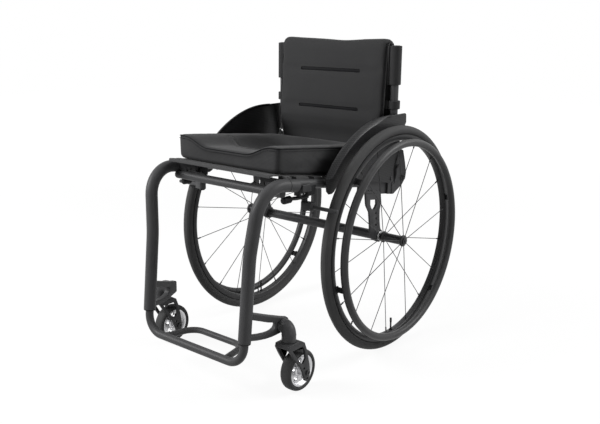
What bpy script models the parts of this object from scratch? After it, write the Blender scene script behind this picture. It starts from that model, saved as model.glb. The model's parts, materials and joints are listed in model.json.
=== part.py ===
import math

import bmesh
import bpy
from mathutils import Matrix, Vector

# A rigid active wheelchair. Metres, +Z up, the front faces -Y, the occupant's
# left is +X. Everything is first laid out round the rear axle line (y = 0),
# then moved back by AXLE_Y so that the footprint is centred on the origin.
# Left pieces are modelled, right pieces are their mirror images.

CLEARANCE = 0.0003

# rear wheels
AXLE_HEIGHT = 0.295
TYRE_RADIUS = 0.295
TYRE_SECTION = 0.0125
WHEEL_X = 0.2366
WHEEL_SEGMENTS = 48
RIM_HALF_WIDTH = 0.011
RIM_TYRE_GAP = 0.0004
RIM_LIP_HEIGHT = 0.0032
RIM_SHOULDER_DROP = 0.0091
RIM_DEPTH = 0.0131
RIM_BED_HALF_WIDTH = 0.0060
RIM_CROWN_HALF_WIDTH = 0.0070
HANDRIM_RADIUS = 0.254
HANDRIM_SECTION = 0.0096
HANDRIM_X = 0.2694
HANDRIM_TAB_ANGLES = (-164, -104, -44, 16, 76, 136)
HANDRIM_TAB_WIDTH = 0.016
HANDRIM_TAB_THICKNESS = 0.004
HANDRIM_TAB_OFFSET = 0.0060
HUB_INNER_X = 0.2025
HUB_OUTER_X = 0.2725
HUB_FLANGE_RADIUS = 0.015
HUB_FLANGE_WIDTH = 0.006
HUB_WAIST_RADIUS = 0.0112
HUB_BORE_RADIUS = 0.0067
HUB_SEGMENTS = 16
SPOKE_COUNT = 18
SPOKE_RADIUS = 0.0011
SPOKE_FIRST_ANGLE = 8
SPOKE_ROOT_RADIUS = 0.0130
SPOKE_RIM_OFFSET = 0.0030
SPOKE_SIDES = 5

# quick-release axles
AXLE_PIN_RADIUS = 0.0063
AXLE_PIN_INNER_X = 0.157
AXLE_HEAD_RADIUS = 0.0092
AXLE_HEAD_OUTER_X = 0.2765
BUTTON_RADIUS = 0.0048
BUTTON_INNER_X = 0.2705
BUTTON_OUTER_X = 0.2788
BUTTON_BORE_X = 0.2660
SLEEVE_RADIUS = 0.0098
SLEEVE_FLANGE_RADIUS = 0.0106
SLEEVE_INNER_X = 0.1555
SLEEVE_OUTER_X = 0.1998
SLEEVE_BORE_RADIUS = 0.0067
CAMBER_TUBE_RADIUS = 0.0125
CAMBER_TUBE_END_X = 0.1958
PIN_SEGMENTS = 12

# legs and seat rails
LEG_RADIUS = 0.015
LEG_X = 0.164
KNEE_Y = -0.464
KNEE_Z = 0.3349
LEG_LEAN = 0.0957
LEG_FOOT_Z = 0.139
RAIL_X = 0.184
CORNER_Y = -0.4471
CORNER_Z = 0.4962
CORNER_BEND = 0.070
KNEE_BEND = 0.30
LEG_END_Y = -0.3306
RAIL_SLOPE = 0.1423
RAIL_LIFT = 0.004
RAIL_RADIUS = 0.011
RAIL_END_Y = 0.0435
LEG_BORE_RADIUS = 0.0135
LEG_BORE_DEPTH = 0.150
BUSH_RADIUS = 0.0132
BUSH_BORE_RADIUS = 0.0104
BUSH_LENGTH = 0.040
TUBE_SIDES = 12

# front cross tube with its gussets
CROSS_Y = -0.367
CROSS_Z = 0.4650
CROSS_RADIUS = 0.0105
CROSS_END_X = 0.176
GUSSET_THICKNESS = 0.004
GUSSET_INNER_X = 0.105
GUSSET_OUTER_X = 0.1735
GUSSET_TOP_Z = 0.4974

# axle plates
PLATE_OUTER_X = 0.1965
PLATE_THICKNESS = 0.010
BLOCK_INNER_X = 0.170
BLOCK_FRONT_Y = -0.070
BLOCK_REAR_Y = 0.022
BLOCK_ABOVE_RAIL = 0.0145
BLOCK_BELOW_RAIL = 0.028
PLATE_HOLE_RADIUS = 0.0032
PLATE_STEM_TOP_Z = 0.4300
BLOCK_HOLE_DROP = 0.0208

# fold-down back
PIVOT_Y = 0.0859
PIVOT_Z = 0.4404
PIVOT_RADIUS = 0.005
PIVOT_HEAD_RADIUS = 0.008
BRACKET_INNER_X = 0.2000
BRACKET_OUTER_X = 0.2040
BRACKET_BLOCK_INNER_X = 0.1722
BRACKET_BLOCK_REAR_Y = 0.050
POST_X = 0.1886
POST_Y = 0.0569
POST_RADIUS = 0.011
POST_TOP_Z = 0.7860
POST_BEND_Z = 0.600
POST_BEND = 0.20
POST_FOOT_Z = 0.4260
WRAP_RADIUS = 0.0155
SLING_PLATE_FRONT_Y = 0.0540
SLING_PLATE_REAR_Y = 0.0570
SLING_PLATE_BOTTOM_Z = 0.6000
SLING_PLATE_TOP_Z = 0.7850
SLING_PLATE_HALF_WIDTH = 0.1730
WRAP_TAB_X = 0.1790
LOWER_WRAP_BOTTOM_Z = 0.6300
LOWER_WRAP_TOP_Z = 0.6520
UPPER_WRAP_BOTTOM_Z = 0.6880
COVER_FRONT_Y = 0.0328
COVER_INNER_Y = 0.0535
COVER_FLAP_INNER_Y = 0.0575
COVER_FLAP_OUTER_Y = 0.0635
COVER_FLAP_BOTTOM_Z = 0.7000
COVER_BOTTOM_Z = 0.4720
COVER_TOP_Z = 0.7985
COVER_LINING_TOP_Z = 0.7860
COVER_HALF_WIDTH = 0.1730
COVER_CAP_HALF_WIDTH = 0.1900
COVER_CAP_BOTTOM_Z = 0.7866
COVER_CAP_TOP_Z = 0.7925
COVER_EDGE = 0.008
SLIT_DEPTH = 0.006
SLIT_HEIGHT = 0.008

# seat
SLING_HALF_WIDTH = 0.1668
SLING_FRONT_Y = -0.4001
SLING_REAR_Y = 0.0120
SLING_TOP_FRONT_Z = 0.5111
SLING_THICKNESS = 0.003
SLING_FLAP_DROP = 0.0045
STRAP_INNER_X = 0.157
STRAP_OUTER_X = 0.1860
CUSHION_HALF_WIDTH = 0.1680
CUSHION_FRONT_Y = -0.3727
CUSHION_REAR_Y = -0.0120
CUSHION_SEAM_FRONT_Z = 0.5660
CUSHION_SEAM_SLOPE = 0.098
CUSHION_CORNER = 0.012
CUSHION_CROWN = 0.0040
CUSHION_DIP = 0.0230
CUSHION_DIP_INNER_X = 0.062
CUSHION_DIP_OUTER_X = 0.142
CUSHION_WELL = 0.0160
CUSHION_WELL_Y = -0.165
CUSHION_WELL_HALF_SIZE = 0.130
CUSHION_CORNER_STEPS = 3
CUSHION_FRONT_STEPS = 10
CUSHION_SIDE_STEPS = 6

# side guards
GUARD_INNER_X = 0.2060
GUARD_THICKNESS = 0.0022
GUARD_BOSS_RADIUS = 0.0045
GUARD_BOSS_ABOVE_RAIL = 0.009
GUARD_ARC_RADIUS = 0.3195
GUARD_RIM_X = 0.2210
GUARD_RIM_THICKNESS = 0.0022
GUARD_REAR_RISE = 0.3180

# brakes
BRAKE_PIN_X = 0.174
BRAKE_PIN_Y = -0.286
BRAKE_PIN_RADIUS = 0.004
BRAKE_LEVER_Z = 0.445
BRAKE_LEVER_THICKNESS = 0.005
BRAKE_GRIP_X = 0.168
BRAKE_GRIP_RADIUS = 0.007
BRAKE_GRIP_FRONT_Y = -0.3545
BRAKE_GRIP_REAR_Y = -0.3320
BRAKE_SPIGOT_FRONT_Y = -0.3480
BRAKE_SPIGOT_RADIUS = 0.0032
BRAKE_MOUNT_BOTTOM_Z = 0.4512
BRAKE_MOUNT_TOP_Z = 0.4740
BRAKE_ARM_BOTTOM_Z = 0.4140
BRAKE_ARM_TOP_Z = 0.4330
SHOE_Y = -0.280
SHOE_Z = 0.4215
SHOE_RADIUS = 0.0047
SHOE_OUTER_X = 0.266

# footrest
FOOT_TUBE_RADIUS = 0.010
FOOT_TUBE_Z = 0.083
FOOT_TUBE_TOP_Z = 0.250
FOOT_BEND = 0.046
FOOT_LOOP_RADIUS = 0.0078
FOOT_LOOP_FRONT_X = 0.104
FOOT_LOOP_REAR_X = 0.085
FOOT_LOOP_REAR_Y = -0.404
FOOT_LOOP_BEND = 0.040

# casters
CASTER_X = 0.2214
SWIVEL_Y = -0.396
CASTER_Y = -0.3625
CASTER_RADIUS = 0.0504
CASTER_SEGMENTS = 24
HOUSING_RADIUS = 0.0168
HOUSING_BOTTOM_Z = 0.1320
HOUSING_ELBOW_Z = 0.1735
ARM_THICKNESS = 0.016
ARM_TOE_OUT = math.radians(16.36)
ARM_LENGTH = 0.1115
ARM_HEIGHT = 0.1700
STEM_RADIUS = 0.006
STEM_TOP_Z = 0.1640
FORK_HALF_WIDTH = 0.0286
FORK_CROWN_HALF_WIDTH = 0.0205
FORK_SPREAD_Z = 0.0620
FORK_ARM_THICKNESS = 0.0058
CROWN_BOTTOM_Z = 0.1170
CROWN_TOP_Z = 0.1312
CASTER_AXLE_RADIUS = 0.004
CASTER_AXLE_HEAD_RADIUS = 0.0065
CASTER_AXLE_HEAD_WIDTH = 0.0035

AXLE_Y = 0.1015

for item in list(bpy.data.objects):
    bpy.data.objects.remove(item, do_unlink=True)

collection = bpy.data.collections.new("wheelchair")
bpy.context.scene.collection.children.link(collection)

finishes = {
    "frame_paint": ((0.030, 0.030, 0.032), 0.48, 0.0),
    "plate_anodised": ((0.026, 0.026, 0.028), 0.42, 0.6),
    "black_plastic": ((0.014, 0.014, 0.015), 0.55, 0.0),
    "tyre_rubber": ((0.032, 0.032, 0.033), 0.62, 0.0),
    "rim_paint": ((0.020, 0.020, 0.021), 0.38, 0.0),
    "handrim_coating": ((0.048, 0.048, 0.050), 0.40, 0.0),
    "seat_fabric": ((0.012, 0.012, 0.013), 0.85, 0.0),
    "cover_fabric": ((0.018, 0.018, 0.019), 0.80, 0.0),
    "bright_steel": ((0.60, 0.60, 0.60), 0.22, 1.0),
    "polished_aluminium": ((0.66, 0.66, 0.67), 0.24, 1.0),
}
materials = {}
for finish, (colour, roughness, metallic) in finishes.items():
    material = bpy.data.materials.new(finish)
    material.use_nodes = True
    shader = material.node_tree.nodes["Principled BSDF"]
    shader.inputs["Base Color"].default_value = (*colour, 1.0)
    shader.inputs["Roughness"].default_value = roughness
    shader.inputs["Metallic"].default_value = metallic
    materials[finish] = material


def across_flats(radius, sides):
    return radius / math.cos(math.pi / sides)


def clear(radius, sides):
    return across_flats(radius + CLEARANCE, sides)


def tidy(mesh):
    """Merge coincident points and turn every face outward."""
    bm = bmesh.new()
    bm.from_mesh(mesh)
    bmesh.ops.remove_doubles(bm, verts=bm.verts, dist=1e-6)
    bmesh.ops.dissolve_degenerate(bm, edges=bm.edges, dist=1e-6)
    bmesh.ops.recalc_face_normals(bm, faces=bm.faces)
    bm.to_mesh(mesh)
    bm.free()


def add(name, data):
    obj = bpy.data.objects.new(name, data)
    collection.objects.link(obj)
    return obj


def freeze(obj):
    """Turn an object with its modifiers and placement into a plain mesh object."""
    graph = bpy.context.evaluated_depsgraph_get()
    mesh = bpy.data.meshes.new_from_object(obj.evaluated_get(graph))
    mesh.transform(obj.matrix_world)
    tidy(mesh)
    name = obj.name
    bpy.data.objects.remove(obj, do_unlink=True)
    return add(name, mesh)


def combine(obj, tools, operation):
    for tool in tools:
        modifier = obj.modifiers.new("shape", "BOOLEAN")
        modifier.operation = operation
        modifier.solver = "EXACT"
        modifier.object = tool
    obj = freeze(obj)
    for tool in tools:
        bpy.data.objects.remove(tool, do_unlink=True)
    return obj


def cut(obj, *tools):
    return combine(obj, tools, "DIFFERENCE")


def join(obj, *tools):
    return combine(obj, tools, "UNION")


def prism(name, outline, axis, low, high):
    """Extrude a flat outline along an axis, from low to high."""
    order = {"x": (2, 0, 1), "y": (0, 2, 1), "z": (0, 1, 2)}[axis]
    mesh = bpy.data.meshes.new(name)
    rings = []
    for along in (low, high):
        rings.append([tuple((u, v, along)[i] for i in order) for u, v in outline])
    count = len(outline)
    sides = [(i, (i + 1) % count, count + (i + 1) % count, count + i) for i in range(count)]
    caps = [tuple(range(count)), tuple(range(2 * count - 1, count - 1, -1))]
    mesh.from_pydata(rings[0] + rings[1], [], sides + caps)
    tidy(mesh)
    return add(name, mesh)


def box(name, low, high):
    outline = [(low[0], low[1]), (high[0], low[1]), (high[0], high[1]), (low[0], high[1])]
    return prism(name, outline, "z", low[2], high[2])


def rod(name, start, end, radius, sides=TUBE_SIDES):
    start = Vector(start)
    end = Vector(end)
    turn = (end - start).to_track_quat("Z", "Y").to_matrix().to_4x4()
    place = Matrix.Translation((start + end) / 2) @ turn @ Matrix.Rotation(math.pi / sides, 4, "Z")
    bm = bmesh.new()
    bmesh.ops.create_cone(
        bm, cap_ends=True, segments=sides, radius1=radius, radius2=radius,
        depth=(end - start).length, matrix=place,
    )
    mesh = bpy.data.meshes.new(name)
    bm.to_mesh(mesh)
    bm.free()
    tidy(mesh)
    return add(name, mesh)


def turned(name, profile, steps, axis="x", centre=(0, 0, 0), hollow=True):
    """Spin a profile of (along, radius) pairs; radii are measured across the flats."""
    mesh = bpy.data.meshes.new(name)
    points = [(across_flats(radius, steps), 0, along) for along, radius in profile]
    edges = [(i, i + 1) for i in range(len(points) - 1)]
    if hollow:
        edges.append((len(points) - 1, 0))
    mesh.from_pydata(points, edges, [])
    obj = add(name, mesh)
    screw = obj.modifiers.new("spin", "SCREW")
    screw.axis = "Z"
    screw.steps = steps
    screw.render_steps = steps
    screw.use_merge_vertices = True
    screw.merge_threshold = 0.00001
    half_step = Matrix.Rotation(math.pi / steps, 4, "Z")
    lay = Matrix.Rotation(math.pi / 2, 4, "Y") if axis == "x" else Matrix.Identity(4)
    obj.matrix_world = Matrix.Translation(centre) @ lay @ half_step
    bpy.context.view_layer.update()
    return freeze(obj)


def rounded(points, bends, steps):
    """Replace each inner corner of a path by an arc."""
    points = [Vector(point) for point in points]
    path = [points[0]]
    for index in range(1, len(points) - 1):
        corner = points[index]
        back = (points[index - 1] - corner).normalized()
        ahead = (points[index + 1] - corner).normalized()
        half = back.angle(ahead) / 2
        centre = corner + (back + ahead).normalized() * bends[index - 1] / math.sin(half)
        first = corner + back * bends[index - 1] / math.tan(half)
        last = corner + ahead * bends[index - 1] / math.tan(half)
        spin = (first - centre).cross(last - centre).normalized()
        count = steps[index - 1]
        for step in range(count + 1):
            turn = Matrix.Rotation((math.pi - 2 * half) * step / count, 3, spin)
            path.append(centre + turn @ (first - centre))
    path.append(points[-1])
    return path


def tube(name, path, radius, sides=TUBE_SIDES):
    curve = bpy.data.curves.new(name, "CURVE")
    curve.dimensions = "3D"
    spline = curve.splines.new("POLY")
    spline.points.add(len(path) - 1)
    for point, place in zip(spline.points, path):
        point.co = (*place, 1)
    curve.bevel_depth = radius
    curve.bevel_resolution = (sides - 4) // 2
    curve.use_fill_caps = True
    return freeze(add(name, curve))


def mirrored(obj, name):
    mesh = obj.data.copy()
    mesh.name = name
    mesh.transform(Matrix.Scale(-1, 4, (1, 0, 0)))
    mesh.flip_normals()
    return add(name, mesh)


def moved(obj, offset):
    obj.data.transform(Matrix.Translation(offset))
    return obj


def leg_y(height):
    return KNEE_Y - LEG_LEAN * (KNEE_Z - height)


def sleeve_z(y):
    return CORNER_Z - RAIL_SLOPE * (y - CORNER_Y)


def rail_z(y):
    return sleeve_z(y) + RAIL_LIFT


def rail_cutter(start_y, end_y, x=RAIL_X):
    start = (x, start_y, rail_z(start_y))
    end = (x, end_y, rail_z(end_y))
    return rod("cutter", start, end, clear(RAIL_RADIUS, TUBE_SIDES))


def sleeve_cutter(start_y, end_y):
    start = (RAIL_X, start_y, sleeve_z(start_y))
    end = (RAIL_X, end_y, sleeve_z(end_y))
    return rod("cutter", start, end, clear(LEG_RADIUS, TUBE_SIDES))


def arc(centre, radius, first, last, count):
    """Points of an arc in a plane, angles in degrees."""
    points = []
    for step in range(count + 1):
        angle = math.radians(first + (last - first) * step / count)
        points.append((centre[0] + radius * math.cos(angle), centre[1] + radius * math.sin(angle)))
    return points


pieces = []


def keep(obj, finish, origin, smooth=30):
    obj.data.materials.clear()
    obj.data.materials.append(materials[finish])
    pieces.append((obj, Vector(origin), smooth))
    return obj


def keep_pair(obj, finish, origin, smooth=30):
    """Keep a left piece and its mirror image on the right."""
    stem = obj.name
    obj.name = stem + "_left"
    twin = mirrored(obj, stem + "_right")
    keep(obj, finish, origin, smooth)
    keep(twin, finish, (-origin[0], origin[1], origin[2]), smooth)


# Rear wheels: tyre, rim, hub with spokes, handrim with its six tabs.
wheel_centre = (WHEEL_X, 0, AXLE_HEIGHT)
section_centre = TYRE_RADIUS - TYRE_SECTION
tyre_profile = []
for step in range(8):
    angle = math.pi / 8 + step * math.pi / 4
    swell = TYRE_SECTION / math.cos(math.pi / 8)
    tyre_profile.append((swell * math.sin(angle), section_centre + swell * math.cos(angle)))
tyre = turned("tyre", tyre_profile, WHEEL_SEGMENTS, centre=wheel_centre)
keep_pair(tyre, "tyre_rubber", wheel_centre, 50)

rim_bed_radius = TYRE_RADIUS - 2 * TYRE_SECTION - RIM_TYRE_GAP
rim_inner_radius = rim_bed_radius - RIM_DEPTH
rim_profile = [
    (-RIM_CROWN_HALF_WIDTH, rim_inner_radius),
    (-RIM_HALF_WIDTH, rim_bed_radius - RIM_SHOULDER_DROP),
    (-RIM_HALF_WIDTH, rim_bed_radius + RIM_LIP_HEIGHT),
    (-RIM_BED_HALF_WIDTH, rim_bed_radius),
    (RIM_BED_HALF_WIDTH, rim_bed_radius),
    (RIM_HALF_WIDTH, rim_bed_radius + RIM_LIP_HEIGHT),
    (RIM_HALF_WIDTH, rim_bed_radius - RIM_SHOULDER_DROP),
    (RIM_CROWN_HALF_WIDTH, rim_inner_radius),
]
rim = turned("rim", rim_profile, WHEEL_SEGMENTS, centre=wheel_centre)
keep_pair(rim, "rim_paint", wheel_centre, 25)

handrim_profile = []
for step in range(6):
    angle = step * math.pi / 3
    swell = HANDRIM_SECTION * 1.05
    offset = HANDRIM_X - WHEEL_X
    handrim_profile.append((offset + swell * math.sin(angle), HANDRIM_RADIUS + swell * math.cos(angle)))
handrim = turned("handrim", handrim_profile, WHEEL_SEGMENTS, centre=wheel_centre)
tab_radius = HANDRIM_RADIUS + HANDRIM_TAB_OFFSET
tabs = []
for degrees in HANDRIM_TAB_ANGLES:
    tab = box(
        "tab",
        (WHEEL_X + RIM_HALF_WIDTH + CLEARANCE, tab_radius - HANDRIM_TAB_THICKNESS / 2,
         -HANDRIM_TAB_WIDTH / 2),
        (HANDRIM_X - HANDRIM_SECTION / 2, tab_radius + HANDRIM_TAB_THICKNESS / 2,
         HANDRIM_TAB_WIDTH / 2),
    )
    tab.data.transform(Matrix.Rotation(math.radians(degrees), 4, "X"))
    tabs.append(moved(tab, (0, 0, AXLE_HEIGHT)))
handrim = join(handrim, *tabs)
keep_pair(handrim, "handrim_coating", wheel_centre, 60)

flange = HUB_FLANGE_WIDTH
hub_profile = [
    (HUB_INNER_X, HUB_BORE_RADIUS),
    (HUB_INNER_X, HUB_FLANGE_RADIUS - 0.002),
    (HUB_INNER_X + 0.001, HUB_FLANGE_RADIUS),
    (HUB_INNER_X + flange, HUB_FLANGE_RADIUS),
    (HUB_INNER_X + flange + 0.002, HUB_WAIST_RADIUS),
    (HUB_OUTER_X - flange - 0.002, HUB_WAIST_RADIUS),
    (HUB_OUTER_X - flange, HUB_FLANGE_RADIUS),
    (HUB_OUTER_X - 0.001, HUB_FLANGE_RADIUS),
    (HUB_OUTER_X, HUB_FLANGE_RADIUS - 0.002),
    (HUB_OUTER_X, HUB_BORE_RADIUS),
]
hub = turned("wheel_hub", hub_profile, HUB_SEGMENTS, centre=(0, 0, AXLE_HEIGHT))
spokes = []
for number in range(SPOKE_COUNT):
    angle = math.radians(SPOKE_FIRST_ANGLE + number * 360 / SPOKE_COUNT)
    inner = number % 2 == 1
    root_x = HUB_INNER_X + flange / 2 if inner else HUB_OUTER_X - flange / 2
    tip_x = WHEEL_X - SPOKE_RIM_OFFSET if inner else WHEEL_X + SPOKE_RIM_OFFSET
    tip_radius = rim_inner_radius - 2 * CLEARANCE
    direction = (math.cos(angle), math.sin(angle))
    root = (root_x, SPOKE_ROOT_RADIUS * direction[0], AXLE_HEIGHT + SPOKE_ROOT_RADIUS * direction[1])
    tip = (tip_x, tip_radius * direction[0], AXLE_HEIGHT + tip_radius * direction[1])
    spokes.append(rod("spoke", root, tip, SPOKE_RADIUS, SPOKE_SIDES))
hub = join(hub, *spokes)
keep_pair(hub, "rim_paint", wheel_centre, 40)

# Quick-release axle pins, their buttons, and the receiving sleeves.
axle_profile = [
    (AXLE_PIN_INNER_X, 0),
    (AXLE_PIN_INNER_X, AXLE_PIN_RADIUS - 0.001),
    (AXLE_PIN_INNER_X + 0.0015, AXLE_PIN_RADIUS),
    (HUB_OUTER_X + CLEARANCE, AXLE_PIN_RADIUS),
    (HUB_OUTER_X + CLEARANCE, AXLE_HEAD_RADIUS),
    (AXLE_HEAD_OUTER_X - 0.0008, AXLE_HEAD_RADIUS),
    (AXLE_HEAD_OUTER_X, AXLE_HEAD_RADIUS - 0.0008),
    (AXLE_HEAD_OUTER_X, BUTTON_RADIUS + CLEARANCE),
    (BUTTON_BORE_X, BUTTON_RADIUS + CLEARANCE),
    (BUTTON_BORE_X, 0),
]
axle = turned("wheel_axle", axle_profile, PIN_SEGMENTS, centre=(0, 0, AXLE_HEIGHT), hollow=False)
keep_pair(axle, "bright_steel", wheel_centre)

button_profile = [
    (BUTTON_INNER_X, 0),
    (BUTTON_INNER_X, BUTTON_RADIUS),
    (BUTTON_OUTER_X - 0.0010, BUTTON_RADIUS),
    (BUTTON_OUTER_X - 0.0003, BUTTON_RADIUS - 0.0010),
    (BUTTON_OUTER_X, 0),
]
button = turned("axle_button", button_profile, PIN_SEGMENTS, centre=(0, 0, AXLE_HEIGHT), hollow=False)
keep_pair(button, "bright_steel", (BUTTON_OUTER_X, 0, AXLE_HEIGHT))

sleeve_profile = [
    (SLEEVE_INNER_X, SLEEVE_BORE_RADIUS),
    (SLEEVE_INNER_X, SLEEVE_RADIUS),
    (PLATE_OUTER_X, SLEEVE_RADIUS),
    (PLATE_OUTER_X, SLEEVE_FLANGE_RADIUS),
    (SLEEVE_OUTER_X - 0.0006, SLEEVE_FLANGE_RADIUS),
    (SLEEVE_OUTER_X, SLEEVE_FLANGE_RADIUS - 0.0006),
    (SLEEVE_OUTER_X, SLEEVE_BORE_RADIUS),
]
sleeve = turned("axle_sleeve", sleeve_profile, PIN_SEGMENTS, centre=(0, 0, AXLE_HEIGHT))
keep_pair(sleeve, "bright_steel", (PLATE_OUTER_X, 0, AXLE_HEIGHT))

camber = rod(
    "camber_tube", (-CAMBER_TUBE_END_X, 0, AXLE_HEIGHT), (CAMBER_TUBE_END_X, 0, AXLE_HEIGHT),
    CAMBER_TUBE_RADIUS,
)
socket_radius = clear(SLEEVE_RADIUS, PIN_SEGMENTS)
socket_depth_x = SLEEVE_INNER_X - 2 * CLEARANCE
sockets = []
for side in (-1, 1):
    sockets.append(rod(
        "socket", (side * socket_depth_x, 0, AXLE_HEIGHT),
        (side * (CAMBER_TUBE_END_X + 0.01), 0, AXLE_HEIGHT), socket_radius, PIN_SEGMENTS,
    ))
camber = cut(camber, *sockets)
keep(camber, "frame_paint", (0, 0, AXLE_HEIGHT))

# Front legs: one bent tube from the footrest socket up and back along the seat.
leg_foot = Vector((LEG_X, leg_y(LEG_FOOT_Z), LEG_FOOT_Z))
leg_axis = Vector((0, LEG_LEAN, 1)).normalized()
leg_path = rounded(
    [leg_foot, (LEG_X, KNEE_Y, KNEE_Z), (RAIL_X, CORNER_Y, CORNER_Z),
     (RAIL_X, LEG_END_Y, sleeve_z(LEG_END_Y))],
    (KNEE_BEND, CORNER_BEND), (2, 6),
)
leg = tube("leg_tube", leg_path, LEG_RADIUS)
leg_bore = rod(
    "bore", leg_foot - leg_axis * 0.01, leg_foot + leg_axis * LEG_BORE_DEPTH,
    across_flats(LEG_BORE_RADIUS, TUBE_SIDES),
)
leg = cut(leg, leg_bore)
keep_pair(leg, "frame_paint", (LEG_X, KNEE_Y, KNEE_Z))

bush = rod("leg_bush", leg_foot, leg_foot + leg_axis * BUSH_LENGTH, BUSH_RADIUS)
bush_bore = rod(
    "bore", leg_foot - leg_axis * 0.01, leg_foot + leg_axis * (BUSH_LENGTH + 0.01),
    across_flats(BUSH_BORE_RADIUS, TUBE_SIDES),
)
bush = cut(bush, bush_bore)
keep_pair(bush, "black_plastic", tuple(leg_foot))

rail_start_y = LEG_END_Y + CLEARANCE + RAIL_LIFT * RAIL_SLOPE
rail = rod(
    "seat_rail", (RAIL_X, rail_start_y, rail_z(rail_start_y)), (RAIL_X, RAIL_END_Y, rail_z(RAIL_END_Y)),
    RAIL_RADIUS,
)
keep_pair(rail, "frame_paint", (RAIL_X, rail_start_y, rail_z(rail_start_y)))

# Front cross tube between the legs, with a flat gusset at each end.
cross = rod("front_cross_tube", (-CROSS_END_X, CROSS_Y, CROSS_Z), (CROSS_END_X, CROSS_Y, CROSS_Z),
            CROSS_RADIUS)
gussets = []
for side in (-1, 1):
    outline = [
        (side * GUSSET_OUTER_X, GUSSET_TOP_Z),
        (side * GUSSET_INNER_X, GUSSET_TOP_Z),
        (side * (GUSSET_INNER_X - 0.010), GUSSET_TOP_Z - 0.0094),
        (side * (GUSSET_INNER_X - 0.023), CROSS_Z + CROSS_RADIUS + 0.0025),
        (side * (GUSSET_INNER_X - 0.035), CROSS_Z + CROSS_RADIUS - 0.001),
        (side * (GUSSET_INNER_X - 0.035), CROSS_Z),
        (side * GUSSET_OUTER_X, CROSS_Z),
    ]
    gussets.append(prism(
        "gusset", outline, "y", CROSS_Y - GUSSET_THICKNESS / 2, CROSS_Y + GUSSET_THICKNESS / 2,
    ))
cross = join(cross, *gussets)
left_saddle = sleeve_cutter(CROSS_Y - 0.05, CROSS_Y + 0.05)
right_saddle = mirrored(left_saddle, "cutter_right")
cross = cut(cross, left_saddle, right_saddle)
keep(cross, "frame_paint", (0, CROSS_Y, CROSS_Z))

# Axle plates: a block clamped round the seat rail and a stem down to the camber tube.
block_outline = [
    (BLOCK_FRONT_Y, rail_z(BLOCK_FRONT_Y) + BLOCK_ABOVE_RAIL),
    (BLOCK_REAR_Y, rail_z(BLOCK_REAR_Y) + BLOCK_ABOVE_RAIL),
    (BLOCK_REAR_Y, rail_z(BLOCK_REAR_Y) - BLOCK_BELOW_RAIL),
    (BLOCK_FRONT_Y - 0.0035, rail_z(BLOCK_FRONT_Y) - BLOCK_BELOW_RAIL),
]
axle_plate = prism("axle_plate", block_outline, "x", BLOCK_INNER_X, PLATE_OUTER_X)


def stem_places(points):
    """Turn each share of the way up from the axle to the stem's top into a height."""
    return [(y, AXLE_HEIGHT + share * (PLATE_STEM_TOP_Z - AXLE_HEIGHT)) for y, share in points]


stem_front = [
    (-0.0690, 1.0), (-0.0686, 0.920), (-0.0482, 0.563), (-0.0335, 0.074), (-0.0310, -0.044), (-0.0250, -0.104),
]
stem_rear = [
    (0.0080, 0.126), (-0.0010, 0.319), (-0.0066, 0.508), (-0.0040, 0.689), (0.0010, 0.837), (0.0015, 1.0),
]
stem_outline = stem_places(stem_front) + arc((0, AXLE_HEIGHT), 0.0165, -105, 15, 7) + stem_places(stem_rear)
stem = prism("stem", stem_outline, "x", PLATE_OUTER_X - PLATE_THICKNESS, PLATE_OUTER_X)
axle_plate = join(axle_plate, stem)
through_low = PLATE_OUTER_X - PLATE_THICKNESS - 0.01
through_high = PLATE_OUTER_X + 0.01
window_outline = stem_places([(-0.0445, 0.759), (-0.0174, 0.759), (-0.0200, 0.563), (-0.0360, 0.563)])
window = prism("window", window_outline, "x", through_low, through_high)
plate_cutters = [
    rail_cutter(BLOCK_FRONT_Y - 0.02, BLOCK_REAR_Y + 0.02),
    rod("bore", (through_low, 0, AXLE_HEIGHT), (through_high, 0, AXLE_HEIGHT),
        clear(CAMBER_TUBE_RADIUS, TUBE_SIDES)),
    window,
]
for hole_y, hole_z in stem_places([(-0.0190, 0.374), (-0.0154, 0.215)]):
    plate_cutters.append(rod(
        "hole", (through_low, hole_y, hole_z), (through_high, hole_y, hole_z), PLATE_HOLE_RADIUS, 8,
    ))
for hole_y in (-0.0578, -0.0465, -0.0211, -0.0081):
    hole_z = rail_z(hole_y) - BLOCK_HOLE_DROP
    plate_cutters.append(rod(
        "hole", (PLATE_OUTER_X - 0.004, hole_y, hole_z), (through_high, hole_y, hole_z),
        PLATE_HOLE_RADIUS, 8,
    ))
axle_plate = cut(axle_plate, *plate_cutters)
keep_pair(axle_plate, "plate_anodised", (PLATE_OUTER_X, 0, AXLE_HEIGHT), 20)

# Back brackets: a block on the end of each rail and an S-edged plate with the pivot.
bracket_front_y = BLOCK_REAR_Y + CLEARANCE
bracket_outline = [
    (bracket_front_y, rail_z(bracket_front_y) + BLOCK_ABOVE_RAIL),
    (BRACKET_BLOCK_REAR_Y, rail_z(BRACKET_BLOCK_REAR_Y) + BLOCK_ABOVE_RAIL),
    (BRACKET_BLOCK_REAR_Y, rail_z(BRACKET_BLOCK_REAR_Y) - BLOCK_BELOW_RAIL),
    (bracket_front_y, rail_z(bracket_front_y) - BLOCK_BELOW_RAIL),
]
bracket = prism("back_bracket", bracket_outline, "x", BRACKET_BLOCK_INNER_X, BRACKET_INNER_X + 0.002)
wing_outline = [
    (0.0390, 0.4030), (0.0470, 0.4020), (0.0869, 0.4208), (0.1035, 0.4365), (0.1065, 0.4520),
    (0.1010, 0.4750), (0.0883, 0.5139), (0.0780, 0.5180), (0.0690, 0.5150), (0.0662, 0.5091),
    (0.0668, 0.4980), (0.0610, 0.4820), (0.0589, 0.4688), (0.0600, 0.4560), (0.0560, 0.4420),
    (0.0504, 0.4360), (0.0400, 0.4340),
]
wing = prism("wing", wing_outline, "x", BRACKET_INNER_X, BRACKET_OUTER_X)
bracket = join(bracket, wing)
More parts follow.
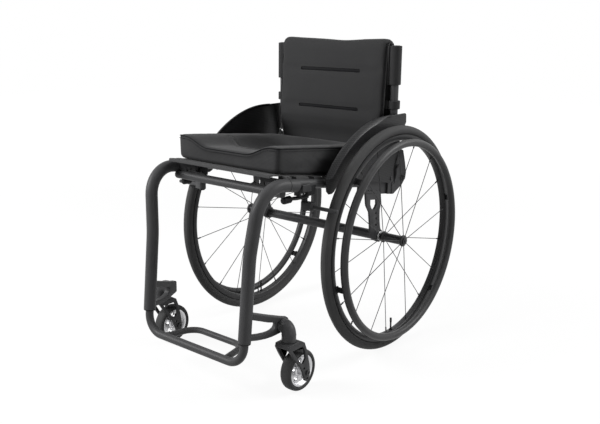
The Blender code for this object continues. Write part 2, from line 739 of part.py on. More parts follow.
bracket_cutters = [
    rail_cutter(bracket_front_y - 0.02, RAIL_END_Y + CLEARANCE),
    rod("bore", (BRACKET_INNER_X - 0.01, PIVOT_Y, PIVOT_Z), (BRACKET_OUTER_X + 0.01, PIVOT_Y, PIVOT_Z),
        clear(PIVOT_RADIUS, PIN_SEGMENTS), PIN_SEGMENTS),
]
bracket = cut(bracket, *bracket_cutters)
keep_pair(bracket, "plate_anodised", (BRACKET_OUTER_X, PIVOT_Y, PIVOT_Z), 20)

post_inner_x = POST_X - POST_RADIUS - CLEARANCE
pivot_profile = [
    (post_inner_x - 0.0040, 0),
    (post_inner_x - 0.0040, PIVOT_HEAD_RADIUS - 0.001),
    (post_inner_x - 0.0030, PIVOT_HEAD_RADIUS),
    (post_inner_x, PIVOT_HEAD_RADIUS),
    (post_inner_x, PIVOT_RADIUS),
    (BRACKET_OUTER_X + CLEARANCE, PIVOT_RADIUS),
    (BRACKET_OUTER_X + CLEARANCE, PIVOT_HEAD_RADIUS),
    (BRACKET_OUTER_X + 0.0026, PIVOT_HEAD_RADIUS),
    (BRACKET_OUTER_X + 0.0036, PIVOT_HEAD_RADIUS - 0.001),
    (BRACKET_OUTER_X + 0.0036, 0),
]
pivot = turned("back_pivot", pivot_profile, PIN_SEGMENTS, centre=(0, PIVOT_Y, PIVOT_Z), hollow=False)
keep_pair(pivot, "black_plastic", (BRACKET_OUTER_X, PIVOT_Y, PIVOT_Z))

# Back posts, leaning forward from the pivot and upright above the bend.
post_slope = (PIVOT_Y - POST_Y) / (POST_BEND_Z - PIVOT_Z)
post_path = rounded(
    [(POST_X, PIVOT_Y + post_slope * (PIVOT_Z - POST_FOOT_Z), POST_FOOT_Z), (POST_X, POST_Y, POST_BEND_Z),
     (POST_X, POST_Y, POST_TOP_Z)],
    (POST_BEND,), (3,),
)
post = tube("back_post", post_path, POST_RADIUS)
post = cut(post, rod(
    "bore", (POST_X - 0.03, PIVOT_Y, PIVOT_Z), (POST_X + 0.03, PIVOT_Y, PIVOT_Z),
    clear(PIVOT_RADIUS, PIN_SEGMENTS), PIN_SEGMENTS,
))
keep_pair(post, "frame_paint", (POST_X, PIVOT_Y, PIVOT_Z))

# Tension sling of the back: a stiff sheet with two wraps round each post.
right_edge = [
    (WRAP_TAB_X, SLING_PLATE_TOP_Z), (WRAP_TAB_X, UPPER_WRAP_BOTTOM_Z + 0.001),
    (SLING_PLATE_HALF_WIDTH, UPPER_WRAP_BOTTOM_Z - 0.004), (SLING_PLATE_HALF_WIDTH, LOWER_WRAP_TOP_Z + 0.004),
    (WRAP_TAB_X, LOWER_WRAP_TOP_Z - 0.001), (WRAP_TAB_X, LOWER_WRAP_BOTTOM_Z + 0.001),
    (SLING_PLATE_HALF_WIDTH, LOWER_WRAP_BOTTOM_Z - 0.004), (SLING_PLATE_HALF_WIDTH, SLING_PLATE_BOTTOM_Z),
]
left_edge = [(-x, z) for x, z in reversed(right_edge)]
back_sling = prism("back_sling", right_edge + left_edge, "y", SLING_PLATE_FRONT_Y, SLING_PLATE_REAR_Y)
wraps = []
post_cutters = []
for side in (-1, 1):
    for low, high in ((LOWER_WRAP_BOTTOM_Z, LOWER_WRAP_TOP_Z), (UPPER_WRAP_BOTTOM_Z, SLING_PLATE_TOP_Z)):
        wraps.append(rod("wrap", (side * POST_X, POST_Y, low), (side * POST_X, POST_Y, high), WRAP_RADIUS))
    post_cutters.append(rod(
        "bore", (side * POST_X, POST_Y, LOWER_WRAP_BOTTOM_Z - 0.01), (side * POST_X, POST_Y, POST_TOP_Z + 0.10),
        clear(POST_RADIUS, TUBE_SIDES),
    ))
back_sling = join(back_sling, *wraps)
back_sling = cut(back_sling, *post_cutters)
keep(back_sling, "cover_fabric", (0, SLING_PLATE_FRONT_Y, SLING_PLATE_BOTTOM_Z), 30)

# Padded back cover, folded over the top of the sling.
cover_stations = 14
cover_rings = []
for station in range(cover_stations + 1):
    share = -1 + 2 * station / cover_stations
    x = COVER_HALF_WIDTH * math.sin(share * math.pi / 2)
    near_edge = max(0.0, abs(x) - (COVER_HALF_WIDTH - COVER_EDGE)) / COVER_EDGE
    tuck = 1 - math.sqrt(max(0.0, 1 - near_edge ** 2))
    front = COVER_FRONT_Y + 0.0075 * tuck
    rear = COVER_FLAP_OUTER_Y - 0.0030 * tuck
    crest = COVER_TOP_Z - 0.006 * tuck + 0.004 * (abs(x) / COVER_HALF_WIDTH) ** 2 - 0.003 * math.exp(
        -((x - 0.03) / 0.05) ** 2)
    belly = 0.0030 * (1 - (x / COVER_HALF_WIDTH) ** 2)
    low = COVER_BOTTOM_Z + 0.004 * tuck
    ring = [
        (COVER_INNER_Y, low + 0.003),
        (COVER_INNER_Y - 0.006, low),
        (front + 0.005, low),
        (front + 0.001, low + 0.006),
        (front - belly * 0.3, 0.530),
        (front - belly, 0.600),
        (front - belly * 0.9, 0.6680),
        (front - belly * 0.5, 0.7400),
        (front, crest - 0.022),
        (front + 0.002, crest - 0.009),
        (front + 0.008, crest - 0.001),
        (0.0480, crest + 0.001),
        (rear - 0.006, crest - 0.0005),
        (rear, crest - 0.008),
        (rear, 0.7500),
        (rear - 0.0005, COVER_FLAP_BOTTOM_Z + 0.002),
        (rear - 0.0020, COVER_FLAP_BOTTOM_Z),
        (COVER_FLAP_INNER_Y, COVER_FLAP_BOTTOM_Z),
        (COVER_FLAP_INNER_Y, COVER_LINING_TOP_Z),
        (COVER_INNER_Y, COVER_LINING_TOP_Z),
        (COVER_INNER_Y, 0.6500),
    ]
    cover_rings.append([(x, y, z) for y, z in ring])


def lofted(name, rings, closed_ends=True):
    """Skin a row of equal rings."""
    count = len(rings[0])
    faces = []
    for row in range(len(rings) - 1):
        for column in range(count):
            after = (column + 1) % count
            faces.append((
                row * count + column, row * count + after,
                (row + 1) * count + after, (row + 1) * count + column,
            ))
    if closed_ends:
        faces.append(tuple(range(count)))
        last = (len(rings) - 1) * count
        faces.append(tuple(range(last + count - 1, last - 1, -1)))
    mesh = bpy.data.meshes.new(name)
    mesh.from_pydata([point for ring in rings for point in ring], [], faces)
    tidy(mesh)
    return add(name, mesh)


cover = lofted("back_cover", cover_rings)
slits = []
for low_x, high_x, slit_z in ((-0.1065, 0.0907, 0.719), (-0.111, 0.089, 0.617)):
    half = SLIT_HEIGHT / 2
    outline = [
        (low_x, slit_z - half * 0.5), (low_x + 0.003, slit_z - half), (high_x - 0.003, slit_z - half),
        (high_x, slit_z - half * 0.5), (high_x, slit_z + half * 0.5), (high_x - 0.003, slit_z + half),
        (low_x + 0.003, slit_z + half), (low_x, slit_z + half * 0.5),
    ]
    slits.append(prism("slit", outline, "y", COVER_FRONT_Y - 0.02, COVER_FRONT_Y + SLIT_DEPTH))
cover = cut(cover, *slits)
cap_low_z = COVER_CAP_BOTTOM_Z
cap_high_z = COVER_CAP_TOP_Z
cap_outline = []
for side in (1, -1):
    for inset, z in ((0.0025, cap_low_z), (0.0, cap_low_z + 0.0020), (0.0, cap_high_z - 0.0025),
                     (0.0040, cap_high_z))[::side]:
        cap_outline.append((side * (COVER_CAP_HALF_WIDTH - inset), z))
cap = prism("cap", cap_outline, "y", 0.0480, 0.0615)
cover = join(cover, cap)
keep(cover, "cover_fabric", (0, COVER_FRONT_Y, COVER_BOTTOM_Z), 50)

# Seat sling with its front flap and the straps that stand on the rails.


def sling_z(y):
    return SLING_TOP_FRONT_Z - RAIL_SLOPE * (y - SLING_FRONT_Y)


sling_outline = [
    (SLING_FRONT_Y, sling_z(SLING_FRONT_Y)),
    (SLING_REAR_Y, sling_z(SLING_REAR_Y)),
    (SLING_REAR_Y, sling_z(SLING_REAR_Y) - SLING_THICKNESS),
    (SLING_FRONT_Y + 0.004, sling_z(SLING_FRONT_Y) - SLING_THICKNESS - 0.0003),
    (SLING_FRONT_Y, sling_z(SLING_FRONT_Y) - SLING_FLAP_DROP),
    (SLING_FRONT_Y - 0.003, sling_z(SLING_FRONT_Y) - SLING_FLAP_DROP + 0.0005),
]
seat_sling = prism("seat_sling", sling_outline, "x", -SLING_HALF_WIDTH, SLING_HALF_WIDTH)
straps = []
for first, last in ((-0.3620, -0.348), (-0.332, -0.287), (-0.267, -0.234), (-0.203, -0.160), (-0.120, -0.085)):
    outline = [
        (first, sling_z(first) - 0.001), (last, sling_z(last) - 0.001),
        (last, rail_z(last) + 0.004), (first, rail_z(first) + 0.004),
    ]
    straps.append(prism("strap", outline, "x", STRAP_INNER_X, STRAP_OUTER_X))
    straps.append(prism("strap", outline, "x", -STRAP_OUTER_X, -STRAP_INNER_X))
seat_sling = join(seat_sling, *straps)
left_rail_cut = rail_cutter(LEG_END_Y - 0.0005, 0.05)
left_sleeve_cut = sleeve_cutter(-0.42, LEG_END_Y + 0.0015)
seat_sling = cut(
    seat_sling, left_rail_cut, mirrored(left_rail_cut, "cutter_a"),
    left_sleeve_cut, mirrored(left_sleeve_cut, "cutter_b"),
)
keep(seat_sling, "seat_fabric", (0, SLING_FRONT_Y, SLING_TOP_FRONT_Z), 30)

# Cushion: drawn-in sides up to a sewn seam, side bolsters, a low middle and a seat well.
cushion_centre_y = (CUSHION_FRONT_Y + CUSHION_REAR_Y) / 2
cushion_half_length = (CUSHION_REAR_Y - CUSHION_FRONT_Y) / 2


def cushion_outline(inset):
    """Rounded rectangle, evenly divided along each side, moved inward by the inset."""
    half_x = CUSHION_HALF_WIDTH - inset
    half_y = cushion_half_length - inset
    corner = min(CUSHION_CORNER + inset * 0.4, half_x * 0.8, half_y * 0.8)
    corners = []
    for quarter, (sign_x, sign_y) in enumerate(((1, -1), (1, 1), (-1, 1), (-1, -1))):
        centre = (sign_x * (half_x - corner), cushion_centre_y + sign_y * (half_y - corner))
        corners.append(arc(centre, corner, -90 + quarter * 90, quarter * 90, CUSHION_CORNER_STEPS))
    points = []
    for quarter in range(4):
        steps = CUSHION_FRONT_STEPS if quarter % 2 else CUSHION_SIDE_STEPS
        start = Vector(corners[quarter][-1])
        target = Vector(corners[(quarter + 1) % 4][0])
        points += corners[quarter]
        points += [tuple(start.lerp(target, step / steps)) for step in range(1, steps)]
    return points


def smooth_share(value):
    share = min(1.0, max(0.0, value))
    return share * share * (3 - 2 * share)


def cushion_seam(x, y):
    """Height of the seam: high along the side bolsters, low in the middle of the front."""
    bolster = smooth_share((abs(x) - CUSHION_DIP_INNER_X) / (CUSHION_DIP_OUTER_X - CUSHION_DIP_INNER_X))
    ahead = smooth_share((CUSHION_REAR_Y - 0.02 - y) / 0.06)
    plane = CUSHION_SEAM_FRONT_Z - CUSHION_SEAM_SLOPE * (y - CUSHION_FRONT_Y)
    return plane - CUSHION_DIP * (1 - bolster) * ahead


def cushion_top(x, y, rise):
    """Crowned top with the deeper well that the pelvis sits in."""
    reach = math.hypot(x, y - CUSHION_WELL_Y) / CUSHION_WELL_HALF_SIZE
    well = CUSHION_WELL * smooth_share((1 - reach) / 0.5)
    return cushion_seam(x, y) + (CUSHION_CROWN - well) * rise


def sling_top(y):
    return sling_z(y) + CLEARANCE


cushion_rings = []
for inset, level in ((0.0095, 0.0), (0.0025, 0.045), (0.0, 0.15), (0.0020, 0.50), (0.0, 0.88)):
    ring = []
    for x, y in cushion_outline(inset):
        base = sling_top(y)
        ring.append((x, y, base + (cushion_seam(x, y) - base) * level))
    cushion_rings.append(ring)
for inset, lift in ((0.0018, 0.0), (0.0010, 0.0018)):
    cushion_rings.append([(x, y, cushion_seam(x, y) + lift) for x, y in cushion_outline(inset)])
for inset, rise in ((0.007, 0.80), (0.020, 1.0), (0.040, 1.0), (0.062, 1.0), (0.086, 1.0), (0.112, 1.0), (0.142, 1.0)):
    cushion_rings.append([(x, y, cushion_top(x, y, rise)) for x, y in cushion_outline(inset)])
cushion = lofted("cushion", cushion_rings)
keep(cushion, "seat_fabric", (0, cushion_centre_y, sling_top(cushion_centre_y)), 60)

# Side guards: panels that follow the tyre, rolled outward along the top, on two bosses.
guard_rear_z = AXLE_HEIGHT + GUARD_REAR_RISE
guard_front = [(-0.2300, 0.1415), (-0.2390, 0.1430), (-0.2455, 0.1510), (-0.2500, 0.1650), (-0.2560, 0.1830)]
guard_outline = [(y, AXLE_HEIGHT + rise) for y, rise in guard_front]
for degrees in range(142, 84, -6):
    angle = math.radians(degrees)
    guard_outline.append((
        GUARD_ARC_RADIUS * math.cos(angle), AXLE_HEIGHT + GUARD_ARC_RADIUS * math.sin(angle),
    ))
guard_outline += [
    (0.0870, guard_rear_z), (0.0908, guard_rear_z - 0.0035), (0.0905, guard_rear_z - 0.0243),
    (0.0700, guard_rear_z - 0.0530), (0.0470, guard_rear_z - 0.1030),
    (0.0370, 0.4700), (0.0350, 0.4480), (0.0290, 0.4400), (0.0213, 0.4350), (-0.0143, 0.4435),
    (-0.0599, 0.4500), (-0.0952, 0.4570), (-0.1500, 0.4590), (-0.2000, 0.4480),
]
guard = prism("side_guard", guard_outline, "x", GUARD_INNER_X, GUARD_INNER_X + GUARD_THICKNESS)
bosses = []
for boss_y in (-0.058, 0.006):
    boss_z = rail_z(boss_y) + GUARD_BOSS_ABOVE_RAIL
    bosses.append(rod(
        "boss", (PLATE_OUTER_X + CLEARANCE, boss_y, boss_z), (GUARD_INNER_X + 0.001, boss_y, boss_z),
        GUARD_BOSS_RADIUS, 12,
    ))
rim_outline = arc((0, AXLE_HEIGHT), GUARD_ARC_RADIUS, 142, 88, 9)
rim_outline.append((0.0870, guard_rear_z))
rim_outline.append((0.0870, guard_rear_z - GUARD_RIM_THICKNESS))
rim_outline += arc((0, AXLE_HEIGHT), GUARD_ARC_RADIUS - GUARD_RIM_THICKNESS, 88, 142, 9)
guard_rim = prism("rim", rim_outline, "x", GUARD_INNER_X + GUARD_THICKNESS / 2, GUARD_RIM_X)
guard = join(guard, guard_rim, *bosses)
keep_pair(guard, "black_plastic", (GUARD_INNER_X, 0, 0.45), 20)

# Brakes hung under the rails: mount with its pin, lever, grip, and the arm with the shoe.
mount = box("brake_mount", (0.1640, -0.3020, BRAKE_MOUNT_BOTTOM_Z), (0.1960, -0.2740, BRAKE_MOUNT_TOP_Z))
mount = cut(mount, rail_cutter(-0.330, -0.240))
lever_low = BRAKE_LEVER_Z - BRAKE_LEVER_THICKNESS / 2
lever_high = BRAKE_LEVER_Z + BRAKE_LEVER_THICKNESS / 2
pin_profile = [
    (BRAKE_ARM_BOTTOM_Z - 0.0030, 0),
    (BRAKE_ARM_BOTTOM_Z - 0.0030, 0.0065),
    (BRAKE_ARM_BOTTOM_Z - CLEARANCE, 0.0065),
    (BRAKE_ARM_BOTTOM_Z - CLEARANCE, BRAKE_PIN_RADIUS),
    (BRAKE_ARM_TOP_Z + CLEARANCE, BRAKE_PIN_RADIUS),
    (BRAKE_ARM_TOP_Z + CLEARANCE, 0.0065),
    (lever_low - CLEARANCE, 0.0065),
    (lever_low - CLEARANCE, BRAKE_PIN_RADIUS),
    (BRAKE_MOUNT_BOTTOM_Z + 0.003, BRAKE_PIN_RADIUS),
    (BRAKE_MOUNT_BOTTOM_Z + 0.003, 0),
]
brake_pin = turned(
    "pin", pin_profile, PIN_SEGMENTS, axis="z", centre=(BRAKE_PIN_X, BRAKE_PIN_Y, 0), hollow=False,
)
mount = join(mount, brake_pin)
keep_pair(mount, "black_plastic", (BRAKE_PIN_X, BRAKE_PIN_Y, BRAKE_MOUNT_BOTTOM_Z))

lever_outline = arc((BRAKE_PIN_X, BRAKE_PIN_Y), 0.0095, -20, 200, 8) + [
    (0.1600, -0.3200), (0.1630, -0.3300), (0.1730, -0.3300), (0.1790, -0.3200),
]
lever = prism("brake_lever", lever_outline, "z", lever_low, lever_high)
spigot = rod(
    "spigot", (BRAKE_GRIP_X, -0.3200, BRAKE_LEVER_Z), (BRAKE_GRIP_X, BRAKE_SPIGOT_FRONT_Y, BRAKE_LEVER_Z),
    BRAKE_SPIGOT_RADIUS - 0.0010, 10,
)
lever = join(lever, spigot)
pin_bore = rod(
    "bore", (BRAKE_PIN_X, BRAKE_PIN_Y, lever_low - 0.01), (BRAKE_PIN_X, BRAKE_PIN_Y, lever_high + 0.01),
    clear(BRAKE_PIN_RADIUS, PIN_SEGMENTS), PIN_SEGMENTS,
)
lever = cut(lever, pin_bore)
keep_pair(lever, "plate_anodised", (BRAKE_PIN_X, BRAKE_PIN_Y, BRAKE_LEVER_Z))

grip_profile = [
    (BRAKE_GRIP_FRONT_Y, 0),
    (BRAKE_GRIP_FRONT_Y, 0.0045),
    (BRAKE_GRIP_FRONT_Y + 0.0015, 0.0064),
    (BRAKE_GRIP_FRONT_Y + 0.0050, BRAKE_GRIP_RADIUS),
    (BRAKE_GRIP_REAR_Y - 0.0020, BRAKE_GRIP_RADIUS),
    (BRAKE_GRIP_REAR_Y, 0.0060),
    (BRAKE_GRIP_REAR_Y, 0),
]
grip = turned("brake_grip", [(-y, r) for y, r in reversed(grip_profile)], PIN_SEGMENTS, axis="z", hollow=False)
grip.data.transform(Matrix.Rotation(math.pi / 2, 4, "X"))
grip = moved(grip, (BRAKE_GRIP_X, 0, BRAKE_LEVER_Z))
grip = cut(grip, rod(
    "bore", (BRAKE_GRIP_X, BRAKE_GRIP_REAR_Y + 0.01, BRAKE_LEVER_Z),
    (BRAKE_GRIP_X, BRAKE_SPIGOT_FRONT_Y - 0.001, BRAKE_LEVER_Z), BRAKE_SPIGOT_RADIUS, 10,
))
keep_pair(grip, "black_plastic", (BRAKE_GRIP_X, BRAKE_GRIP_REAR_Y, BRAKE_LEVER_Z))

arm_outline = arc((BRAKE_PIN_X, BRAKE_PIN_Y), 0.0095, 100, 260, 6) + [(0.1960, -0.2900), (0.1960, -0.2720)]
brake_arm = prism("brake_arm", arm_outline, "z", BRAKE_ARM_BOTTOM_Z, BRAKE_ARM_TOP_Z)
brake_arm = cut(brake_arm, rod(
    "bore", (BRAKE_PIN_X, BRAKE_PIN_Y, BRAKE_ARM_BOTTOM_Z - 0.01),
    (BRAKE_PIN_X, BRAKE_PIN_Y, BRAKE_ARM_TOP_Z + 0.01), clear(BRAKE_PIN_RADIUS, PIN_SEGMENTS), PIN_SEGMENTS,
))
brake_arm = join(brake_arm, rod(
    "shoe", (0.1880, SHOE_Y, SHOE_Z), (SHOE_OUTER_X, SHOE_Y, SHOE_Z), SHOE_RADIUS, 12,
))
keep_pair(brake_arm, "plate_anodised", (BRAKE_PIN_X, BRAKE_PIN_Y, SHOE_Z))

# Footrest: the front hoop slides in the leg sockets and carries the rear loop.
foot_y = leg_y(FOOT_TUBE_Z)
front_path = rounded(
    [(-LEG_X, leg_y(FOOT_TUBE_TOP_Z), FOOT_TUBE_TOP_Z), (-LEG_X, foot_y, FOOT_TUBE_Z),
     (LEG_X, foot_y, FOOT_TUBE_Z), (LEG_X, leg_y(FOOT_TUBE_TOP_Z), FOOT_TUBE_TOP_Z)],
    (FOOT_BEND, FOOT_BEND), (5, 5),
)
front_hoop = tube("footrest_front_hoop", front_path, FOOT_TUBE_RADIUS)
keep(front_hoop, "frame_paint", (0, foot_y, FOOT_TUBE_Z))
rear_path = rounded(
    [(-FOOT_LOOP_FRONT_X, foot_y, FOOT_TUBE_Z), (-FOOT_LOOP_REAR_X, FOOT_LOOP_REAR_Y, FOOT_TUBE_Z),
     (FOOT_LOOP_REAR_X, FOOT_LOOP_REAR_Y, FOOT_TUBE_Z), (FOOT_LOOP_FRONT_X, foot_y, FOOT_TUBE_Z)],
    (FOOT_LOOP_BEND, FOOT_LOOP_BEND), (5, 5),
)
rear_loop = tube("footrest_rear_loop", rear_path, FOOT_LOOP_RADIUS)
rear_loop = cut(rear_loop, rod(
    "saddle", (-0.2, foot_y, FOOT_TUBE_Z), (0.2, foot_y, FOOT_TUBE_Z), clear(FOOT_TUBE_RADIUS, TUBE_SIDES),
))
keep(rear_loop, "frame_paint", (0, FOOT_LOOP_REAR_Y, FOOT_TUBE_Z))

# Caster arms, plates that run back from the legs, and the housings bolted outboard of them.
leg_centre = Vector((LEG_X, leg_y(ARM_HEIGHT), 0))
arm_outward = Vector((math.cos(ARM_TOE_OUT), -math.sin(ARM_TOE_OUT), 0))
arm_turn = Matrix.Rotation(math.pi / 2 - ARM_TOE_OUT, 4, "Z")
arm_place = Matrix.Translation(leg_centre) @ arm_turn
caster_arm = prism(
    "caster_arm",
    [(0.0040, 0.2105), (0.0138, 0.2077), (0.0495, 0.1947), (0.1039, 0.1776), (ARM_LENGTH, 0.1752),
     (ARM_LENGTH, 0.1520), (0.0894, 0.1483), (0.0494, 0.1424), (0.0072, 0.1460), (0.0040, 0.1460)],
    "y", -ARM_THICKNESS / 2, ARM_THICKNESS / 2,
)
arm_window = prism(
    "window",
    [(0.0100, 0.1950), (0.0137, 0.1935), (0.0494, 0.1817), (0.0710, 0.1742), (0.0710, 0.1655),
     (0.0653, 0.1643), (0.0494, 0.1619), (0.0100, 0.1626)],
    "y", -ARM_THICKNESS, ARM_THICKNESS,
)
caster_arm = cut(caster_arm, arm_window)
caster_arm.data.transform(arm_place)
leg_low = Vector((LEG_X, leg_y(0.10), 0.10))
leg_high = Vector((LEG_X, leg_y(0.25), 0.25))
caster_arm = cut(caster_arm, rod("saddle", leg_low, leg_high, clear(LEG_RADIUS, TUBE_SIDES)))
keep_pair(caster_arm, "frame_paint", (LEG_X, leg_centre.y, ARM_HEIGHT))

elbow = Vector((CASTER_X, SWIVEL_Y, HOUSING_ELBOW_Z))
swivel_offset = Vector((CASTER_X, SWIVEL_Y, 0)) - leg_centre
housing_reach = swivel_offset.dot(arm_outward) - ARM_THICKNESS / 2 - CLEARANCE
housing_path = rounded(
    [(CASTER_X, SWIVEL_Y, HOUSING_BOTTOM_Z), elbow, elbow - arm_outward * housing_reach], (0.0185,), (6,),
)
housing = tube("caster_housing", housing_path, HOUSING_RADIUS)
stem_bore = rod(
    "bore", (CASTER_X, SWIVEL_Y, HOUSING_BOTTOM_Z - 0.01), (CASTER_X, SWIVEL_Y, STEM_TOP_Z + 0.0010),
    clear(STEM_RADIUS, PIN_SEGMENTS), PIN_SEGMENTS,
)
housing = cut(housing, stem_bore)
keep_pair(housing, "frame_paint", (CASTER_X, SWIVEL_Y, HOUSING_BOTTOM_Z), 40)

# Caster forks: a crown, two open triangular arms and the swivel stem.
fork = prism(
    "caster_fork",
    [(-0.4205, 0.1210), (-0.4190, 0.1300), (-0.4150, CROWN_TOP_Z), (-0.3760, CROWN_TOP_Z),
     (-0.3640, 0.1240), (-0.3600, 0.1150), (-0.3690, CROWN_BOTTOM_Z), (-0.4130, CROWN_BOTTOM_Z)],
    "x", CASTER_X - FORK_CROWN_HALF_WIDTH, CASTER_X + FORK_CROWN_HALF_WIDTH,
)
arm_profile = [
    (-0.4205, 0.1210), (-0.4190, 0.1300), (-0.3640, 0.1240), (-0.3590, 0.1080), (-0.3535, 0.0700),
    (-0.3525, 0.0480), (-0.3545, 0.0330), (-0.3625, 0.0280), (-0.3710, 0.0330), (-0.3760, 0.0500),
    (-0.3850, 0.0690), (-0.4060, 0.0980),
]
arm_hole = [
    (-0.4080, 0.1160), (-0.3720, 0.1160), (-0.3665, 0.1060), (-0.3655, 0.0860), (-0.3760, 0.0760),
    (-0.3840, 0.0810),
]


def lean_inward(arm, side):
    """Lean a fork arm toward the crown above the height where it leaves the wheel."""
    bm = bmesh.new()
    bm.from_mesh(arm.data)
    everything = bm.verts[:] + bm.edges[:] + bm.faces[:]
    bmesh.ops.bisect_plane(bm, geom=everything, plane_co=(0, 0, FORK_SPREAD_Z), plane_no=(0, 0, 1))
    for vert in bm.verts:
        share = max(0.0, (vert.co.z - FORK_SPREAD_Z) / (CROWN_TOP_Z - FORK_SPREAD_Z))
        vert.co.x -= side * share * (FORK_HALF_WIDTH - FORK_CROWN_HALF_WIDTH)
    bm.to_mesh(arm.data)
    bm.free()


fork_parts = []
for side in (-1, 1):
    inner = CASTER_X + side * (FORK_HALF_WIDTH - FORK_ARM_THICKNESS)
    outer = CASTER_X + side * FORK_HALF_WIDTH
    arm = prism("arm", arm_profile, "x", min(inner, outer), max(inner, outer))
    lean_inward(arm, side)
    fork_parts.append(arm)
fork_parts.append(rod(
    "stem", (CASTER_X, SWIVEL_Y, CROWN_TOP_Z - 0.006), (CASTER_X, SWIVEL_Y, STEM_TOP_Z),
    across_flats(STEM_RADIUS, PIN_SEGMENTS), PIN_SEGMENTS,
))
fork = join(fork, *fork_parts)
low_x = CASTER_X - FORK_HALF_WIDTH - 0.01
high_x = CASTER_X + FORK_HALF_WIDTH + 0.01
fork_cutters = [prism("window", arm_hole, "x", low_x, high_x)]
for hole_y, hole_z in ((-0.3735, 0.0640), (-0.3624, 0.0360)):
    fork_cutters.append(rod("hole", (low_x, hole_y, hole_z), (high_x, hole_y, hole_z), 0.0030, 8))
fork_cutters.append(rod(
    "bore", (low_x, CASTER_Y, CASTER_RADIUS), (high_x, CASTER_Y, CASTER_RADIUS),
    clear(CASTER_AXLE_RADIUS, PIN_SEGMENTS), PIN_SEGMENTS,
))
fork = cut(fork, *fork_cutters)
keep_pair(fork, "plate_anodised", (CASTER_X, SWIVEL_Y, CROWN_TOP_Z), 20)

# Caster wheels: tyre, open hub and the through bolt.
caster_centre = (CASTER_X, CASTER_Y, CASTER_RADIUS)
caster_tyre_profile = [
    (-0.0125, 0.0392), (-0.0152, 0.0412), (-0.0150, 0.0455), (-0.0115, 0.0486), (-0.0045, CASTER_RADIUS),
    (0.0045, CASTER_RADIUS), (0.0115, 0.0486), (0.0150, 0.0455), (0.0152, 0.0412), (0.0125, 0.0392),
]
caster_tyre = turned("caster_tyre", caster_tyre_profile, CASTER_SEGMENTS, centre=caster_centre)
keep_pair(caster_tyre, "tyre_rubber", caster_centre, 40)

caster_hub_profile = [
    (-0.0222, 0.0046), (-0.0222, 0.0085), (-0.0060, 0.0125), (-0.0060, 0.0300),
    (-0.0125, 0.0340), (-0.0125, 0.0389), (0.0125, 0.0389), (0.0125, 0.0340), (0.0060, 0.0300),
    (0.0060, 0.0125), (0.0222, 0.0085), (0.0222, 0.0046),
]
caster_hub = turned("caster_hub", caster_hub_profile, CASTER_SEGMENTS, centre=caster_centre)
hub_windows = []
for number in range(5):
    angle = math.radians(18 + number * 72)
    window_y = CASTER_Y + 0.0215 * math.cos(angle)
    window_z = CASTER_RADIUS + 0.0215 * math.sin(angle)
    hub_windows.append(rod(
        "window", (CASTER_X - 0.02, window_y, window_z), (CASTER_X + 0.02, window_y, window_z), 0.0070, 8,
    ))
caster_hub = cut(caster_hub, *hub_windows)
keep_pair(caster_hub, "polished_aluminium", caster_centre, 25)

caster_bolt_x = FORK_HALF_WIDTH + CLEARANCE
bolt_profile = [
    (-caster_bolt_x - CASTER_AXLE_HEAD_WIDTH, 0),
    (-caster_bolt_x - CASTER_AXLE_HEAD_WIDTH, CASTER_AXLE_HEAD_RADIUS),
    (-caster_bolt_x, CASTER_AXLE_HEAD_RADIUS),
    (-caster_bolt_x, CASTER_AXLE_RADIUS),
    (caster_bolt_x, CASTER_AXLE_RADIUS),
    (caster_bolt_x, CASTER_AXLE_HEAD_RADIUS),
    (caster_bolt_x + CASTER_AXLE_HEAD_WIDTH, CASTER_AXLE_HEAD_RADIUS),
    (caster_bolt_x + CASTER_AXLE_HEAD_WIDTH, 0),
]
caster_axle = turned("caster_axle", bolt_profile, PIN_SEGMENTS, centre=caster_centre, hollow=False)
keep_pair(caster_axle, "bright_steel", caster_centre)

# Put every piece in place with its origin on its own joint or reference point.
for obj, origin, smooth in pieces:
    obj.data.transform(Matrix.Translation(-origin))
    obj.location = origin + Vector((0, AXLE_Y, 0))
    for polygon in obj.data.polygons:
        polygon.use_smooth = True
    obj.data.set_sharp_from_angle(angle=math.radians(smooth))
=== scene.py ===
import json
import math

import bmesh
import bpy
from mathutils import Matrix, Vector

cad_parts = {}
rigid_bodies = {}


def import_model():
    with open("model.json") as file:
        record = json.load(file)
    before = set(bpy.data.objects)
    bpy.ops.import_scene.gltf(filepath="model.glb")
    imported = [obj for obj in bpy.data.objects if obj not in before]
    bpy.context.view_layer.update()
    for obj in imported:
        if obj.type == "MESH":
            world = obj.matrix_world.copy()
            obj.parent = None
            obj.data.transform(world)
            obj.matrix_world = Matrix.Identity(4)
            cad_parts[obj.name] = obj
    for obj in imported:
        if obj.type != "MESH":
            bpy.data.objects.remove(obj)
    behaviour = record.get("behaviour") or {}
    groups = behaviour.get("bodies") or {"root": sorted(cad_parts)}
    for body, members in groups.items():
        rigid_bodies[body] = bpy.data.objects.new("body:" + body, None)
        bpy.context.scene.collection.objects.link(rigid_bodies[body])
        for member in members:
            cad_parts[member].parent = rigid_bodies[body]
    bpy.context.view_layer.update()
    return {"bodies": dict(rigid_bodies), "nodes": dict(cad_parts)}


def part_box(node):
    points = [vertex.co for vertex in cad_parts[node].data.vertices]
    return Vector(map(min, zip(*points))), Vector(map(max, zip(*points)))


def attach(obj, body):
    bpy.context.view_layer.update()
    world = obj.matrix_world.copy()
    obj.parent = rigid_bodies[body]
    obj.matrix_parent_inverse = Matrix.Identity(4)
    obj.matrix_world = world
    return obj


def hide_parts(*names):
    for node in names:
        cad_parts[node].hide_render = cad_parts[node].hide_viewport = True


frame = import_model()
nodes = frame["nodes"]

# Everything is laid out round the rear axle, whose line is taken from the frame.
axleLow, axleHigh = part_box("wheel_axle_left")
axleY = (axleLow.y + axleHigh.y) / 2
axleZ = (axleLow.z + axleHigh.z) / 2
tyreLow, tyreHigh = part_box("tyre_left")
wheelX = (tyreLow.x + tyreHigh.x) / 2


